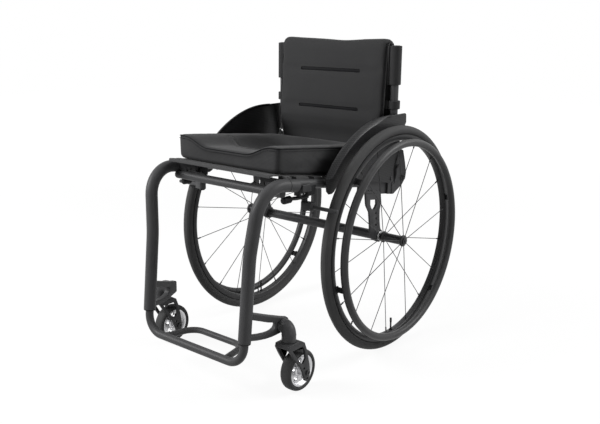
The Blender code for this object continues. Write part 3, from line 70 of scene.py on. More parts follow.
def place(x, y, z):  # from the axle line to the frame's own origin
    return Vector((x, y + axleY, z))


# Modelling helpers

def deselectAll():
    if bpy.context.object and bpy.context.object.mode != "OBJECT":
        bpy.ops.object.mode_set(mode="OBJECT")
    bpy.ops.object.select_all(action="DESELECT")


def takeUp(piece):
    deselectAll()
    piece.select_set(True)
    bpy.context.view_layer.objects.active = piece
    return piece


def editAll():
    bpy.ops.object.mode_set(mode="EDIT")
    bpy.ops.mesh.select_all(action="SELECT")


def smoothBelow(degrees):
    bpy.ops.object.shade_smooth_by_angle(angle=math.radians(degrees))


def settleMesh(piece, smoothAngle=35, merge=0.00001):
    # merge doubles, point the faces outwards and leave the object at the origin
    takeUp(piece)
    bpy.ops.object.transform_apply(location=True, rotation=True, scale=True)
    editAll()
    bpy.ops.mesh.remove_doubles(threshold=merge)
    bpy.ops.mesh.normals_make_consistent(inside=False)
    bpy.ops.object.mode_set(mode="OBJECT")
    smoothBelow(smoothAngle)
    return piece


def applyModifier(piece, kind, **settings):
    takeUp(piece)
    modifier = piece.modifiers.new(kind.lower(), kind)
    for key, value in settings.items():
        setattr(modifier, key, value)
    bpy.ops.object.modifier_apply(modifier=modifier.name)
    return piece


def softenEdges(piece, width, segments=2, angle=30, smoothAngle=40):
    applyModifier(
        piece, "BEVEL", width=width, segments=segments, limit_method="ANGLE",
        angle_limit=math.radians(angle), use_clamp_overlap=False, harden_normals=False,
    )
    smoothBelow(smoothAngle)
    return piece


def drawPath(name, points, closed=False):
    # one vertex, extruded from point to point
    deselectAll()
    bpy.ops.mesh.primitive_plane_add(size=0.01, location=points[0])
    piece = bpy.context.object
    piece.name = name
    bpy.ops.object.mode_set(mode="EDIT")
    bpy.ops.mesh.merge(type="CENTER")
    for here, there in zip(points, points[1:]):
        bpy.ops.mesh.extrude_region_move(TRANSFORM_OT_translate={"value": Vector(there) - Vector(here)})
    if closed:
        mesh = bmesh.from_edit_mesh(piece.data)
        mesh.verts.ensure_lookup_table()
        for vert in mesh.verts:
            vert.select_set(vert.index in (0, len(mesh.verts) - 1))
        bmesh.update_edit_mesh(piece.data)
        bpy.ops.mesh.edge_face_add()
    bpy.ops.mesh.select_all(action="SELECT")
    return piece


def lathe(name, profile, centre, axis="X", steps=96, smoothAngle=35):
    # profile is a closed line of (along the axis, radius) pairs, counted from the centre
    along, outward = {
        "X": (Vector((1, 0, 0)), Vector((0, 0, 1))),
        "Y": (Vector((0, 1, 0)), Vector((0, 0, 1))),
        "Z": (Vector((0, 0, 1)), Vector((1, 0, 0))),
    }[axis]
    piece = drawPath(name, [Vector(centre) + along * a + outward * r for a, r in profile], closed=True)
    bpy.ops.mesh.spin(steps=steps, angle=2 * math.pi, center=centre, axis=along, use_auto_merge=True)
    return settleMesh(piece, smoothAngle)


def roundPath(points, bends, count):
    # each inner corner becomes an arc of its bend radius, in count steps
    points = [Vector(point) for point in points]
    path = [points[0]]
    for index, bend in enumerate(bends, 1):
        corner = points[index]
        back = (points[index - 1] - corner).normalized()
        ahead = (points[index + 1] - corner).normalized()
        half = back.angle(ahead) / 2
        centre = corner + (back + ahead).normalized() * bend / math.sin(half)
        first = corner + back * bend / math.tan(half)
        last = corner + ahead * bend / math.tan(half)
        spin = (first - centre).cross(last - centre).normalized()
        for step in range(count + 1):
            turn = Matrix.Rotation((math.pi - 2 * half) * step / count, 3, spin)
            path.append(centre + turn @ (first - centre))
    path.append(points[-1])
    return path


def sweepTube(name, points, radius, sides=28, closed=False):
    piece = drawPath(name, points, closed)
    bpy.ops.object.mode_set(mode="OBJECT")
    bpy.ops.object.convert(target="CURVE")
    piece = bpy.context.object
    piece.data.bevel_depth = radius
    piece.data.bevel_resolution = (sides - 4) // 2
    piece.data.use_fill_caps = not closed
    bpy.ops.object.convert(target="MESH")
    return settleMesh(bpy.context.object, 50)


def cutPlate(name, outline, axis, low, high, bevel=0.0006, segments=2):
    # a flat outline filled and pushed through its thickness
    order = {"X": (2, 0, 1), "Y": (0, 2, 1), "Z": (0, 1, 2)}[axis]
    points = [place(*[(u, v, low)[i] for i in order]) for u, v in outline]
    piece = drawPath(name, points, closed=True)
    bpy.ops.mesh.edge_face_add()
    push = [0, 0, 0]
    push["XYZ".index(axis)] = high - low
    bpy.ops.mesh.extrude_region_move(TRANSFORM_OT_translate={"value": push})
    settleMesh(piece)
    return softenEdges(piece, bevel, segments) if bevel else piece


def rodBetween(name, start, end, radius, sides=24, bevel=0.0):
    deselectAll()
    start, end = Vector(start), Vector(end)
    turn = (end - start).to_track_quat("Z", "Y").to_euler()
    bpy.ops.mesh.primitive_cylinder_add(
        vertices=sides, radius=radius, depth=(end - start).length, location=(start + end) / 2,
        rotation=turn
    )
    piece = bpy.context.object
    piece.name = name
    settleMesh(piece)
    return softenEdges(piece, bevel, 3, 50) if bevel else piece


def roundedBlock(name, low, high, bevel, segments=3):
    deselectAll()
    low, high = Vector(low), Vector(high)
    bpy.ops.mesh.primitive_cube_add(size=1, location=(low + high) / 2, scale=high - low)
    piece = bpy.context.object
    piece.name = name
    bpy.ops.object.transform_apply(location=True, rotation=True, scale=True)
    editAll()
    bpy.ops.mesh.bevel(offset=bevel, segments=segments, affect="EDGES")
    return settleMesh(piece, 40)


def turnPiece(piece, degrees, axis, centre):
    takeUp(piece)
    piece.data.transform(
        Matrix.Translation(centre) @ Matrix.Rotation(math.radians(degrees), 4, axis)
        @ Matrix.Translation(-Vector(centre)))
    return piece


def joinPieces(pieces, name):
    takeUp(pieces[0])
    for piece in pieces:
        piece.select_set(True)
    bpy.ops.object.join()
    joined = bpy.context.object
    joined.name = name
    return joined


def cutAway(piece, *cutters):
    for cutter in cutters:
        applyModifier(piece, "BOOLEAN", object=cutter, operation="DIFFERENCE", solver="EXACT")
        bpy.data.objects.remove(cutter)
    return piece


def copyNode(name, node, bevel, segments=2):
    # the solid's own shape, merged; a bevel of 0 leaves its edges sharp, for a piece that is cut first
    piece = bpy.data.objects.new(name, nodes[node].data.copy())
    bpy.context.scene.collection.objects.link(piece)
    takeUp(piece)
    editAll()
    bpy.ops.mesh.remove_doubles(threshold=0.000002)
    bpy.ops.mesh.dissolve_limited(angle_limit=math.radians(0.5))
    bpy.ops.object.mode_set(mode="OBJECT")
    if bevel:
        softenEdges(piece, bevel, segments, 28)
    else:
        smoothBelow(40)
    return piece


def mirrorCopy(piece, name):
    takeUp(piece)
    bpy.ops.object.duplicate()
    twin = bpy.context.object
    twin.name = name
    twin.data.transform(Matrix.Scale(-1, 4, (1, 0, 0)))
    editAll()
    bpy.ops.mesh.flip_normals()
    bpy.ops.object.mode_set(mode="OBJECT")
    return twin


def slotName(finish):  # framePaint becomes frame_paint
    return "".join("_" + letter.lower() if letter.isupper() else letter for letter in finish)


def fit(piece, body, finish, *stoodFor, slot=None):
    # body, finish and the solids that the piece stands for; the slot is not used
    piece.data.materials.clear()
    piece.data.materials.append(finishes[finish])
    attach(piece, body)
    slot or slotName(finish)
    if stoodFor:
        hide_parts(*stoodFor)
    return piece


def fitPair(piece, body, finish, *stoodFor, slot=None):
    # the left piece and its mirror image; the body and solids are named without their side
    stem = piece.name
    piece.name = stem + "Left"
    twin = mirrorCopy(piece, stem + "Right")
    for part, side in ((piece, "_left"), (twin, "_right")):
        onSide = body + side if body + side in frame["bodies"] else body
        fit(part, onSide, finish, *[node + side for node in stoodFor], slot=slot)
    return piece, twin


def arcPoints(radius, first, last, count, centre=(0, 0)):
    points = []
    for step in range(count + 1):
        angle = math.radians(first + (last - first) * step / count)
        points.append((centre[0] + radius * math.cos(angle), centre[1] + radius * math.sin(angle)))
    return points


# Finishes

def startMaterial(name, colour, roughness, metallic):
    material = bpy.data.materials.new(name)
    material.use_nodes = True
    shader = material.node_tree.nodes["Principled BSDF"]
    shader.inputs["Base Color"].default_value = (*colour, 1)
    shader.inputs["Roughness"].default_value = roughness
    shader.inputs["Metallic"].default_value = metallic
    return material, shader


def addNode(material, kind, inputs=(), **settings):
    node = material.node_tree.nodes.new(kind)
    for key, value in settings.items():
        setattr(node, key, value)
    for key, value in dict(inputs).items():
        node.inputs[key].default_value = value
    return node


def mixMath(material, operation, first, second):
    node = addNode(material, "ShaderNodeMath", operation=operation)
    for socket, value in zip(node.inputs, (first, second)):
        if isinstance(value, (int, float)):
            socket.default_value = value
        else:
            material.node_tree.links.new(value, socket)
    return node.outputs[0]


def shareOut(material, first, firstShare, second, secondShare):
    return mixMath(material, "ADD", mixMath(material, "MULTIPLY", first, firstShare),
                   mixMath(material, "MULTIPLY", second, secondShare))


def weaveHeight(material, where, pitch):
    # threads along all three axes, each left out where the cloth faces along it
    link = material.node_tree.links.new
    facing = addNode(material, "ShaderNodeSeparateXYZ")
    link(addNode(material, "ShaderNodeTexCoord").outputs["Normal"], facing.inputs[0])
    crossed = 0.0
    for direction in ("X", "Y", "Z"):
        wave = addNode(
            material, "ShaderNodeTexWave",
            {"Scale": math.pi / (10 * pitch), "Distortion": 0.4, "Detail Scale": 6}, wave_type="BANDS",
            bands_direction=direction, wave_profile="SIN"
        )
        link(where, wave.inputs["Vector"])
        turned = mixMath(material, "ABSOLUTE", facing.outputs[direction], 0.0)
        along = mixMath(material, "POWER", mixMath(material, "SUBTRACT", 1.0, turned), 1.5)
        threads = mixMath(material, "MULTIPLY", wave.outputs["Fac"], along)
        crossed = mixMath(material, "ADD", threads, crossed)
    return mixMath(material, "MULTIPLY", crossed, 0.5)


def twillHeight(material, where, pitch):
    # two sets of tows laid in a checker, each catching the light its own way
    link = material.node_tree.links.new
    checker = addNode(material, "ShaderNodeTexChecker", {"Scale": 1 / pitch, "Color1": (1, 1, 1, 1),
                                                         "Color2": (0, 0, 0, 1)})
    link(where, checker.inputs["Vector"])
    tows = []
    for direction in ("Y", "Z"):
        wave = addNode(
            material, "ShaderNodeTexWave", {"Scale": math.pi / (10 * pitch)}, wave_type="BANDS",
            bands_direction=direction, wave_profile="SIN",
        )
        link(where, wave.inputs["Vector"])
        tows.append(wave.outputs["Fac"])
    blend = addNode(material, "ShaderNodeMix")
    link(checker.outputs["Fac"], blend.inputs[0])
    link(tows[0], blend.inputs[2])
    link(tows[1], blend.inputs[3])
    return blend.outputs[0]


def makeFinish(name, look):
    material, shader = startMaterial(name, look["colour"], look["roughness"][0], look.get("metallic", 0.0))
    link = material.node_tree.links.new
    where = addNode(material, "ShaderNodeTexCoord").outputs["Object"]
    patches = addNode(material, "ShaderNodeTexNoise", {"Scale": look.get("patchScale", 14.0), "Detail": 4.0,
                                                       "Roughness": 0.6})
    link(where, patches.inputs["Vector"])
    grain = addNode(material, "ShaderNodeTexNoise", {"Scale": look.get("grainScale", 900.0), "Detail": 3.0})
    link(where, grain.inputs["Vector"])
    height = grain.outputs["Fac"]
    shadeBy = patches.outputs["Fac"]
    if "weave" in look:
        weave = weaveHeight(material, where, look["weave"])
        height = shareOut(material, weave, 0.8, grain.outputs["Fac"], 0.2)
        shadeBy = shareOut(material, patches.outputs["Fac"], 0.55, weave, 0.45)
    if "twill" in look:
        twill = twillHeight(material, where, look["twill"])
        height = twill
        # the checker also sets the colour: the twill's real pattern, its lighter and darker squares a
        # painted reflection of each set of tows
        shadeBy = shareOut(material, patches.outputs["Fac"], 0.3, twill, 0.7)
    ramp = addNode(material, "ShaderNodeValToRGB")
    ramp.color_ramp.elements[0].position = 0.30
    ramp.color_ramp.elements[0].color = (*look["colour"], 1)
    ramp.color_ramp.elements[1].position = 0.72
    ramp.color_ramp.elements[1].color = (*look["wornAndSheenTone"], 1)
    link(shadeBy, ramp.inputs["Fac"])
    link(ramp.outputs["Color"], shader.inputs["Base Color"])
    rough = addNode(
        material, "ShaderNodeMapRange", {"To Min": look["roughness"][0], "To Max": look["roughness"][1]}
    )
    link(patches.outputs["Fac"], rough.inputs["Value"])
    link(rough.outputs["Result"], shader.inputs["Roughness"])
    bump = addNode(material, "ShaderNodeBump", {"Strength": look.get("bump", 0.25),
                                                "Distance": look.get("depth", 0.0002)})
    link(height, bump.inputs["Height"])
    link(bump.outputs["Normal"], shader.inputs["Normal"])
    for socket, value in look.get("sockets", {}).items():
        shader.inputs[socket].default_value = value
    return material


finishLooks = {
    "framePaint": {
        "colour": (0.056, 0.056, 0.058), "wornAndSheenTone": (0.068, 0.068, 0.070), "roughness": (0.40, 0.50),
        "grainScale": 1400.0, "bump": 0.18, "depth": 0.00012, "sockets": {"Specular IOR Level": 0.16}
    },
    "plateAnodised": {
        "colour": (0.036, 0.036, 0.038), "wornAndSheenTone": (0.050, 0.050, 0.052), "roughness": (0.38, 0.48),
        "grainScale": 2200.0, "bump": 0.12, "depth": 0.0001, "sockets": {"Specular IOR Level": 0.22}
    },
    # near-black plastic; also laid on the top of the front cross tube as painted shade under the sling
    "blackPlastic": {
        "colour": (0.009, 0.009, 0.010), "wornAndSheenTone": (0.016, 0.016, 0.017), "roughness": (0.48, 0.60),
        "grainScale": 1100.0, "bump": 0.30, "depth": 0.0002, "sockets": {"Specular IOR Level": 0.16}
    },
    "tyreRubber": {
        "colour": (0.056, 0.056, 0.057), "wornAndSheenTone": (0.070, 0.070, 0.070), "roughness": (0.62, 0.74),
        "grainScale": 700.0, "bump": 0.35, "depth": 0.0003, "patchScale": 22.0,
        "sockets": {"Specular IOR Level": 0.14}
    },
    "rimPaint": {
        "colour": (0.024, 0.024, 0.025), "wornAndSheenTone": (0.034, 0.034, 0.035), "roughness": (0.34, 0.46),
        "grainScale": 1500.0, "bump": 0.12, "depth": 0.0001, "sockets": {"Specular IOR Level": 0.22}
    },
    "handrimCoating": {
        "colour": (0.042, 0.042, 0.043), "wornAndSheenTone": (0.054, 0.054, 0.055), "roughness": (0.36, 0.48),
        "grainScale": 1600.0, "bump": 0.15, "depth": 0.0001, "patchScale": 30.0,
        "sockets": {"Specular IOR Level": 0.20}
    },
    "cushionFabric": {
        "colour": (0.036, 0.036, 0.037), "wornAndSheenTone": (0.066, 0.066, 0.067), "roughness": (0.78, 0.88),
        "weave": 0.0030, "bump": 0.45, "depth": 0.0004,
        "sockets": {"Specular IOR Level": 0.10, "Sheen Weight": 0.08, "Sheen Roughness": 0.4}
    },
    # the sling's own fabric; on the pad's bound edge its lighter tone is a painted highlight
    "slingFabric": {
        "colour": (0.064, 0.064, 0.065), "wornAndSheenTone": (0.086, 0.086, 0.088), "roughness": (0.70, 0.82),
        "weave": 0.0020, "bump": 0.50, "depth": 0.0004,
        "sockets": {"Specular IOR Level": 0.10, "Sheen Weight": 0.06, "Sheen Roughness": 0.4}
    },
    "coverFabric": {
        "colour": (0.038, 0.038, 0.039), "wornAndSheenTone": (0.048, 0.048, 0.049), "roughness": (0.76, 0.86),
        "weave": 0.0019, "bump": 0.45, "depth": 0.0004,
        "sockets": {"Specular IOR Level": 0.10, "Sheen Weight": 0.07, "Sheen Roughness": 0.4}
    },
    "carbonPanel": {
        "colour": (0.008, 0.008, 0.009), "wornAndSheenTone": (0.028, 0.028, 0.029), "roughness": (0.34, 0.44),
        "twill": 0.0045, "bump": 0.25, "depth": 0.0002, "sockets": {"Specular IOR Level": 0.20}
    },
    "brightSteel": {
        "colour": (0.52, 0.52, 0.53), "wornAndSheenTone": (0.62, 0.62, 0.62), "roughness": (0.28, 0.38),
        "metallic": 1.0, "grainScale": 1800.0, "bump": 0.08, "depth": 0.00008
    },
    "polishedAluminium": {
        "colour": (0.50, 0.50, 0.51), "wornAndSheenTone": (0.62, 0.62, 0.63), "roughness": (0.30, 0.42),
        "metallic": 1.0, "grainScale": 1600.0, "bump": 0.08, "depth": 0.00008
    },
    # near-black: the thread of the stitches, and also painted shade in the seams and slits
    "stitchThread": {
        "colour": (0.005, 0.005, 0.006), "wornAndSheenTone": (0.011, 0.011, 0.012), "roughness": (0.60, 0.70),
        "grainScale": 3000.0, "bump": 0.3, "depth": 0.0001, "sockets": {"Specular IOR Level": 0.10}
    }
}
finishes = {name: makeFinish(name, look) for name, look in finishLooks.items()}
print("finishes ready:", len(finishes))

# Camera, floor and light

cameraSetup = {
    "x": 1.28476, "y": -1.64474, "z": 0.83563, "azimuth": 39.626, "elevation": 13.700, "roll": 0.563,
    "lens": 46.164, "sensor": 36.0
}


def makeCamera(setup):
    azimuth, elevation, roll = (math.radians(setup[key]) for key in ("azimuth", "elevation", "roll"))
    back = Vector((math.sin(azimuth) * math.cos(elevation), -math.cos(azimuth) * math.cos(elevation),
                   math.sin(elevation)))
    level = Vector((math.cos(azimuth), math.sin(azimuth), 0))
    right = level * math.cos(roll) + back.cross(level) * math.sin(roll)
    turn = Matrix((right, back.cross(right), back)).transposed().to_4x4()
    turn.translation = place(setup["x"], setup["y"], setup["z"])
    deselectAll()
    bpy.ops.object.camera_add()
    camera = bpy.context.object
    camera.name = "camera"
    camera.matrix_world = turn
    camera.data.lens = setup["lens"]
    camera.data.sensor_width = setup["sensor"]
    bpy.context.scene.camera = camera


def makeLight(name, at, aim, size, power):
    deselectAll()
    turn = (Vector(aim) - Vector(at)).to_track_quat("-Z", "Y").to_euler()
    bpy.ops.object.light_add(type="AREA", location=at, rotation=turn)
    light = bpy.context.object
    light.name = name
    light.data.shape = "RECTANGLE"
    light.data.size, light.data.size_y = size
    light.data.energy = power


floorSetup = {"size": 14.0, "colour": (0.93, 0.93, 0.93), "bounce": (0.40, 0.40, 0.40),
              "whiteShare": (0.88, 1.0), "fadeFrom": (1.3, 3.2), "white": 1.03}


def makeFloor(setup):
    deselectAll()
    bpy.ops.mesh.primitive_plane_add(size=setup["size"], location=(0, 0, 0))
    floor = bpy.context.object
    floor.name = "floor"
    material, shader = startMaterial("floorPaint", setup["colour"], 0.9, 0.0)
    shader.inputs["Specular IOR Level"].default_value = 0.1
    link = material.node_tree.links.new
    where = addNode(material, "ShaderNodeTexCoord").outputs["Object"]
    speckle = addNode(material, "ShaderNodeTexNoise", {"Scale": 60.0, "Detail": 5.0})
    link(where, speckle.inputs["Vector"])
    bump = addNode(material, "ShaderNodeBump", {"Strength": 0.05, "Distance": 0.001})
    link(speckle.outputs["Fac"], bump.inputs["Height"])
    link(bump.outputs["Normal"], shader.inputs["Normal"])
    glow = addNode(material, "ShaderNodeEmission", {"Color": (1, 1, 1, 1), "Strength": setup["white"]})
    reach = addNode(material, "ShaderNodeVectorMath", operation="LENGTH")
    link(where, reach.inputs[0])
    fade = addNode(
        material, "ShaderNodeMapRange",
        {
            "From Min": setup["fadeFrom"][0], "From Max": setup["fadeFrom"][1],
            "To Min": setup["whiteShare"][0], "To Max": setup["whiteShare"][1]
        }
    )
    link(reach.outputs["Value"], fade.inputs["Value"])
    rays = addNode(material, "ShaderNodeLightPath")
    seen = mixMath(material, "ADD", rays.outputs["Is Camera Ray"], rays.outputs["Is Glossy Ray"])
    seen = mixMath(
        material, "MINIMUM", mixMath(material, "ADD", seen, rays.outputs["Is Transmission Ray"]), 1.0
    )
    share = mixMath(material, "MULTIPLY", seen, fade.outputs["Result"])
    tone = addNode(material, "ShaderNodeMix", data_type="RGBA")
    tone.inputs[6].default_value = (*setup["bounce"], 1)
    tone.inputs[7].default_value = (*setup["colour"], 1)
    link(seen, tone.inputs[0])
    link(tone.outputs[2], shader.inputs["Base Color"])
    blend = addNode(material, "ShaderNodeMixShader")
    link(share, blend.inputs["Fac"])
    link(shader.outputs["BSDF"], blend.inputs[1])
    link(glow.outputs["Emission"], blend.inputs[2])
    link(blend.outputs["Shader"], material.node_tree.nodes["Material Output"].inputs["Surface"])
    floor.data.materials.append(material)


worldSetup = {"ambient": 0.07}


def makeWorld(setup):
    world = bpy.data.worlds.new("studio")
    bpy.context.scene.world = world
    world.use_nodes = True
    tree = world.node_tree
    plain = tree.nodes["Background"]
    plain.inputs["Color"].default_value = (1, 1, 1, 1)
    plain.inputs["Strength"].default_value = setup["ambient"]
    white = tree.nodes.new("ShaderNodeBackground")
    white.inputs["Color"].default_value = (1, 1, 1, 1)
    white.inputs["Strength"].default_value = 1.0
    rays = tree.nodes.new("ShaderNodeLightPath")
    blend = tree.nodes.new("ShaderNodeMixShader")
    seen = rays.outputs["Is Camera Ray"]
    for kind in ("Is Glossy Ray", "Is Transmission Ray"):
        either = tree.nodes.new("ShaderNodeMath")
        either.operation = "MAXIMUM"
        tree.links.new(seen, either.inputs[0])
        tree.links.new(rays.outputs[kind], either.inputs[1])
        seen = either.outputs[0]
    tree.links.new(seen, blend.inputs["Fac"])
    tree.links.new(plain.outputs["Background"], blend.inputs[1])
    tree.links.new(white.outputs["Background"], blend.inputs[2])
    tree.links.new(blend.outputs["Shader"], tree.nodes["World Output"].inputs["Surface"])


makeCamera(cameraSetup)
makeFloor(floorSetup)
makeWorld(worldSetup)
lightSetups = {
    "keyLight": {"at": (-1.64, -2.07, 1.85), "aim": (0.0, 0.0, 0.42), "size": (1.5, 1.5), "power": 90},
    "rimLight": {"at": (1.78, 1.70, 2.05), "aim": (0.0, 0.0, 0.42), "size": (1.4, 1.4), "power": 58},
    "sideLight": {"at": (2.60, -0.70, 0.42), "aim": (0.2, 0.0, 0.30), "size": (1.2, 0.8), "power": 9},
    "topLight": {"at": (0.0, 0.0, 3.4), "aim": (0.0, 0.0, 0.4), "size": (2.2, 2.2), "power": 16},
}
for lightName, lightSetup in lightSetups.items():
    makeLight(lightName, **lightSetup)
bpy.context.scene.view_settings.view_transform = "Standard"
print("stage ready")

# Rear wheels, modelled on the left

hubCentre = place(wheelX, 0, axleZ)

tyreShape = {"radius": 0.295, "section": 0.0125, "grooveDepth": 0.00045, "grooveAngles": (-38, -16, 16, 38)}


def makeTyre(shape):
    profile = []
    for step in range(64):
        degrees = -180 + step * 360 / 64
        nearest = min(abs(degrees - groove) for groove in shape["grooveAngles"])
        section = shape["section"] - shape["grooveDepth"] * math.exp(-(nearest / 3.2) ** 2)
        angle = math.radians(degrees)
        profile.append(
            (section * math.sin(angle), shape["radius"] - shape["section"] + section * math.cos(angle))
        )
    return lathe("tyre", profile, hubCentre, steps=144, smoothAngle=60)


rimShape = {
    "half": [
        (0.0060, 0.2690), (0.0084, 0.2692), (0.0091, 0.2722), (0.0100, 0.2728), (0.0109, 0.2722),
        (0.0112, 0.2690), (0.0108, 0.2645), (0.0098, 0.2606), (0.0080, 0.2578), (0.0055, 0.2566)
    ], "valveDegrees": -88, "valveRadius": 0.0029, "valveLength": 0.034
}


def makeRim(shape):
    half = shape["half"]
    profile = [(-w, r) for w, r in half] + [(0.0, 0.2563)] + [(w, r) for w, r in reversed(half)]
    return lathe("rim", profile, hubCentre, steps=144, smoothAngle=40)


def radial(degrees, radius, x=wheelX):
    angle = math.radians(degrees)
    return place(x, radius * math.cos(angle), axleZ + radius * math.sin(angle))


hubShape = {
    "innerX": 0.2070, "outerX": 0.2725, "flangeRadius": 0.0149, "flangeWidth": 0.0060, "waist": 0.0117,
    "spokes": 18, "firstSpoke": 8, "spokeRadius": 0.00095, "nippleRadius": 0.0019, "nippleLength": 0.012,
    "rootRadius": 0.0130, "tipRadius": 0.2568
}


def makeHub(shape):
    inner, outer, width = shape["innerX"], shape["outerX"], shape["flangeWidth"]
    flange, waist = shape["flangeRadius"], shape["waist"]
    profile = [
        (inner, 0.0067), (inner, flange - 0.0018), (inner + 0.0006, flange - 0.0006),
        (inner + 0.0016, flange), (inner + width - 0.0010, flange), (inner + width, flange - 0.0008),
        (inner + width + 0.0020, waist + 0.0012), (inner + width + 0.0050, waist),
        (outer - width - 0.0050, waist), (outer - width - 0.0020, waist + 0.0012),
        (outer - width, flange - 0.0008), (outer - width + 0.0010, flange), (outer - 0.0016, flange),
        (outer - 0.0006, flange - 0.0006), (outer, flange - 0.0018), (outer, 0.0067)
    ]
    parts = [lathe("hub", profile, place(0, 0, axleZ), steps=48)]
    for number in range(shape["spokes"]):
        degrees = shape["firstSpoke"] + number * 360 / shape["spokes"]
        onInner = number % 2 == 1
        rootX = inner + width / 2 if onInner else outer - width / 2
        tipX = wheelX - 0.003 if onInner else wheelX + 0.003
        root = radial(degrees, shape["rootRadius"], rootX)
        tip = radial(degrees, shape["tipRadius"], tipX)
        collar = tip - (tip - root).normalized() * shape["nippleLength"]
        parts.append(rodBetween("spoke", root, tip, shape["spokeRadius"], 10))
        parts.append(rodBetween("nipple", collar, tip, shape["nippleRadius"], 10, 0.0004))
    return joinPieces(parts, "wheelHub")


handrimShape = {"radius": 0.254, "section": 0.0096, "x": 0.2694, "tabs": (-164, -104, -44, 16, 76, 136),
                "tabRadius": 0.2600, "tabWidth": 0.016, "tabThickness": 0.0036, "screwRadius": 0.0032}


def makeHandrim(shape):
    profile = []
    for step in range(24):
        angle = 2 * math.pi * step / 24
        profile.append((shape["x"] - wheelX + shape["section"] * math.sin(angle),
                        shape["radius"] + shape["section"] * math.cos(angle)))
    ring = lathe("handrim", profile, hubCentre, steps=160, smoothAngle=60)
    half = shape["tabThickness"] / 2
    tabs = []
    for degrees in shape["tabs"]:
        low = place(wheelX + 0.0104, -shape["tabWidth"] / 2, axleZ + shape["tabRadius"] - half)
        high = place(shape["x"] - 0.004, shape["tabWidth"] / 2, axleZ + shape["tabRadius"] + half)
        tab = roundedBlock("tab", low, high, 0.0014)
        foot = roundedBlock("foot", place(wheelX + 0.0104, -0.009, axleZ + shape["tabRadius"] - 0.0042),
                            place(wheelX + 0.0128, 0.009, axleZ + shape["tabRadius"] + 0.0050), 0.0008)
        screw = rodBetween("screw", place(wheelX + 0.0190, 0, axleZ + shape["tabRadius"] - half - 0.0012),
                           place(wheelX + 0.0190, 0, axleZ + shape["tabRadius"] - half + 0.001),
                           shape["screwRadius"], 16, 0.0005)
        for part in (tab, foot, screw):
            tabs.append(turnPiece(part, degrees - 90, "X", place(0, 0, axleZ)))
    return ring, joinPieces(tabs, "handrimTabs")


def makeValve(shape):
    degrees, inner = shape["valveDegrees"], 0.2566
    stem = rodBetween(
        "stem", radial(degrees, inner + 0.002), radial(degrees, inner - shape["valveLength"] + 0.009),
        shape["valveRadius"] * 0.8, 16, 0.0004
    )
    cap = rodBetween("cap", radial(degrees, inner - shape["valveLength"] + 0.012),
                     radial(degrees, inner - shape["valveLength"]), shape["valveRadius"], 16, 0.0006)
    nut = rodBetween(
        "nut", radial(degrees, inner + 0.001), radial(degrees, inner - 0.0025), 0.0048, 6, 0.0003
    )
    return joinPieces([stem, cap, nut], "tyreValve")


axleShape = {"headRadius": 0.0092, "headInnerX": 0.2728, "headOuterX": 0.2765, "pinRadius": 0.0063,
             "pinInnerX": 0.157, "buttonRadius": 0.0048, "buttonOuterX": 0.2788}


def makeAxle(shape):
    head, x1, x2 = shape["headRadius"], shape["headInnerX"], shape["headOuterX"]
    bore = shape["buttonRadius"] + 0.0003
    profile = [
        (shape["pinInnerX"], 0.0002), (shape["pinInnerX"], 0.0048),
        (shape["pinInnerX"] + 0.0015, shape["pinRadius"]), (x1, shape["pinRadius"]), (x1, head - 0.0003),
        (x1 + 0.0004, head), (x2 - 0.0010, head), (x2 - 0.0003, head - 0.0004), (x2, head - 0.0012),
        (x2, bore + 0.0004), (x2 - 0.0004, bore), (0.2660, bore), (0.2660, 0.0002)
    ]
    return lathe("axlePin", profile, place(0, 0, axleZ), steps=48)


def makeButton(shape):
    radius, outer = shape["buttonRadius"], shape["buttonOuterX"]
    profile = [
        (0.2705, 0.0002), (0.2705, radius), (outer - 0.0012, radius), (outer - 0.0005, radius - 0.0005),
        (outer - 0.0002, radius - 0.0014), (outer, 0.0002)
    ]
    return lathe("axleButton", profile, place(0, 0, axleZ), steps=40)


def makeSleeve():
    profile = [(0.1555, 0.0067), (0.1555, 0.0098), (0.1966, 0.0098), (0.1966, 0.0121), (0.1972, 0.0127),
               (0.1996, 0.0127), (0.2002, 0.0121), (0.2002, 0.0067)]
    return lathe("axleSleeve", profile, place(0, 0, axleZ), steps=40)


fitPair(makeTyre(tyreShape), "wheel", "tyreRubber", "tyre")
fitPair(makeRim(rimShape), "wheel", "rimPaint", "rim")
fitPair(makeHub(hubShape), "wheel", "rimPaint", "wheel_hub")
handrim, handrimTabs = makeHandrim(handrimShape)
fitPair(handrim, "wheel", "handrimCoating", "handrim")
fitPair(handrimTabs, "wheel", "blackPlastic")
fitPair(makeValve(rimShape), "wheel", "blackPlastic")
fitPair(makeAxle(axleShape), "frame", "plateAnodised", "wheel_axle")
fitPair(makeButton(axleShape), "release_button", "plateAnodised", "axle_button")
fitPair(makeSleeve(), "frame", "brightSteel", "axle_sleeve")
print("rear wheels ready")

# Casters, modelled on the left

casterShape = {"x": 0.2214, "y": -0.3625, "z": 0.0504, "swivelY": -0.396}
casterCentre = place(casterShape["x"], casterShape["y"], casterShape["z"])


def makeCasterTyre():
    half = [(0.0045, 0.0503), (0.0085, 0.0498), (0.0115, 0.0486), (0.0138, 0.0468), (0.0150, 0.0446),
            (0.0152, 0.0424), (0.0146, 0.0405), (0.0128, 0.0392)]
    profile = [(0.0, 0.0504)] + half + [(-w, r) for w, r in reversed(half)]
    return lathe("casterTyre", profile, casterCentre, steps=96, smoothAngle=60)


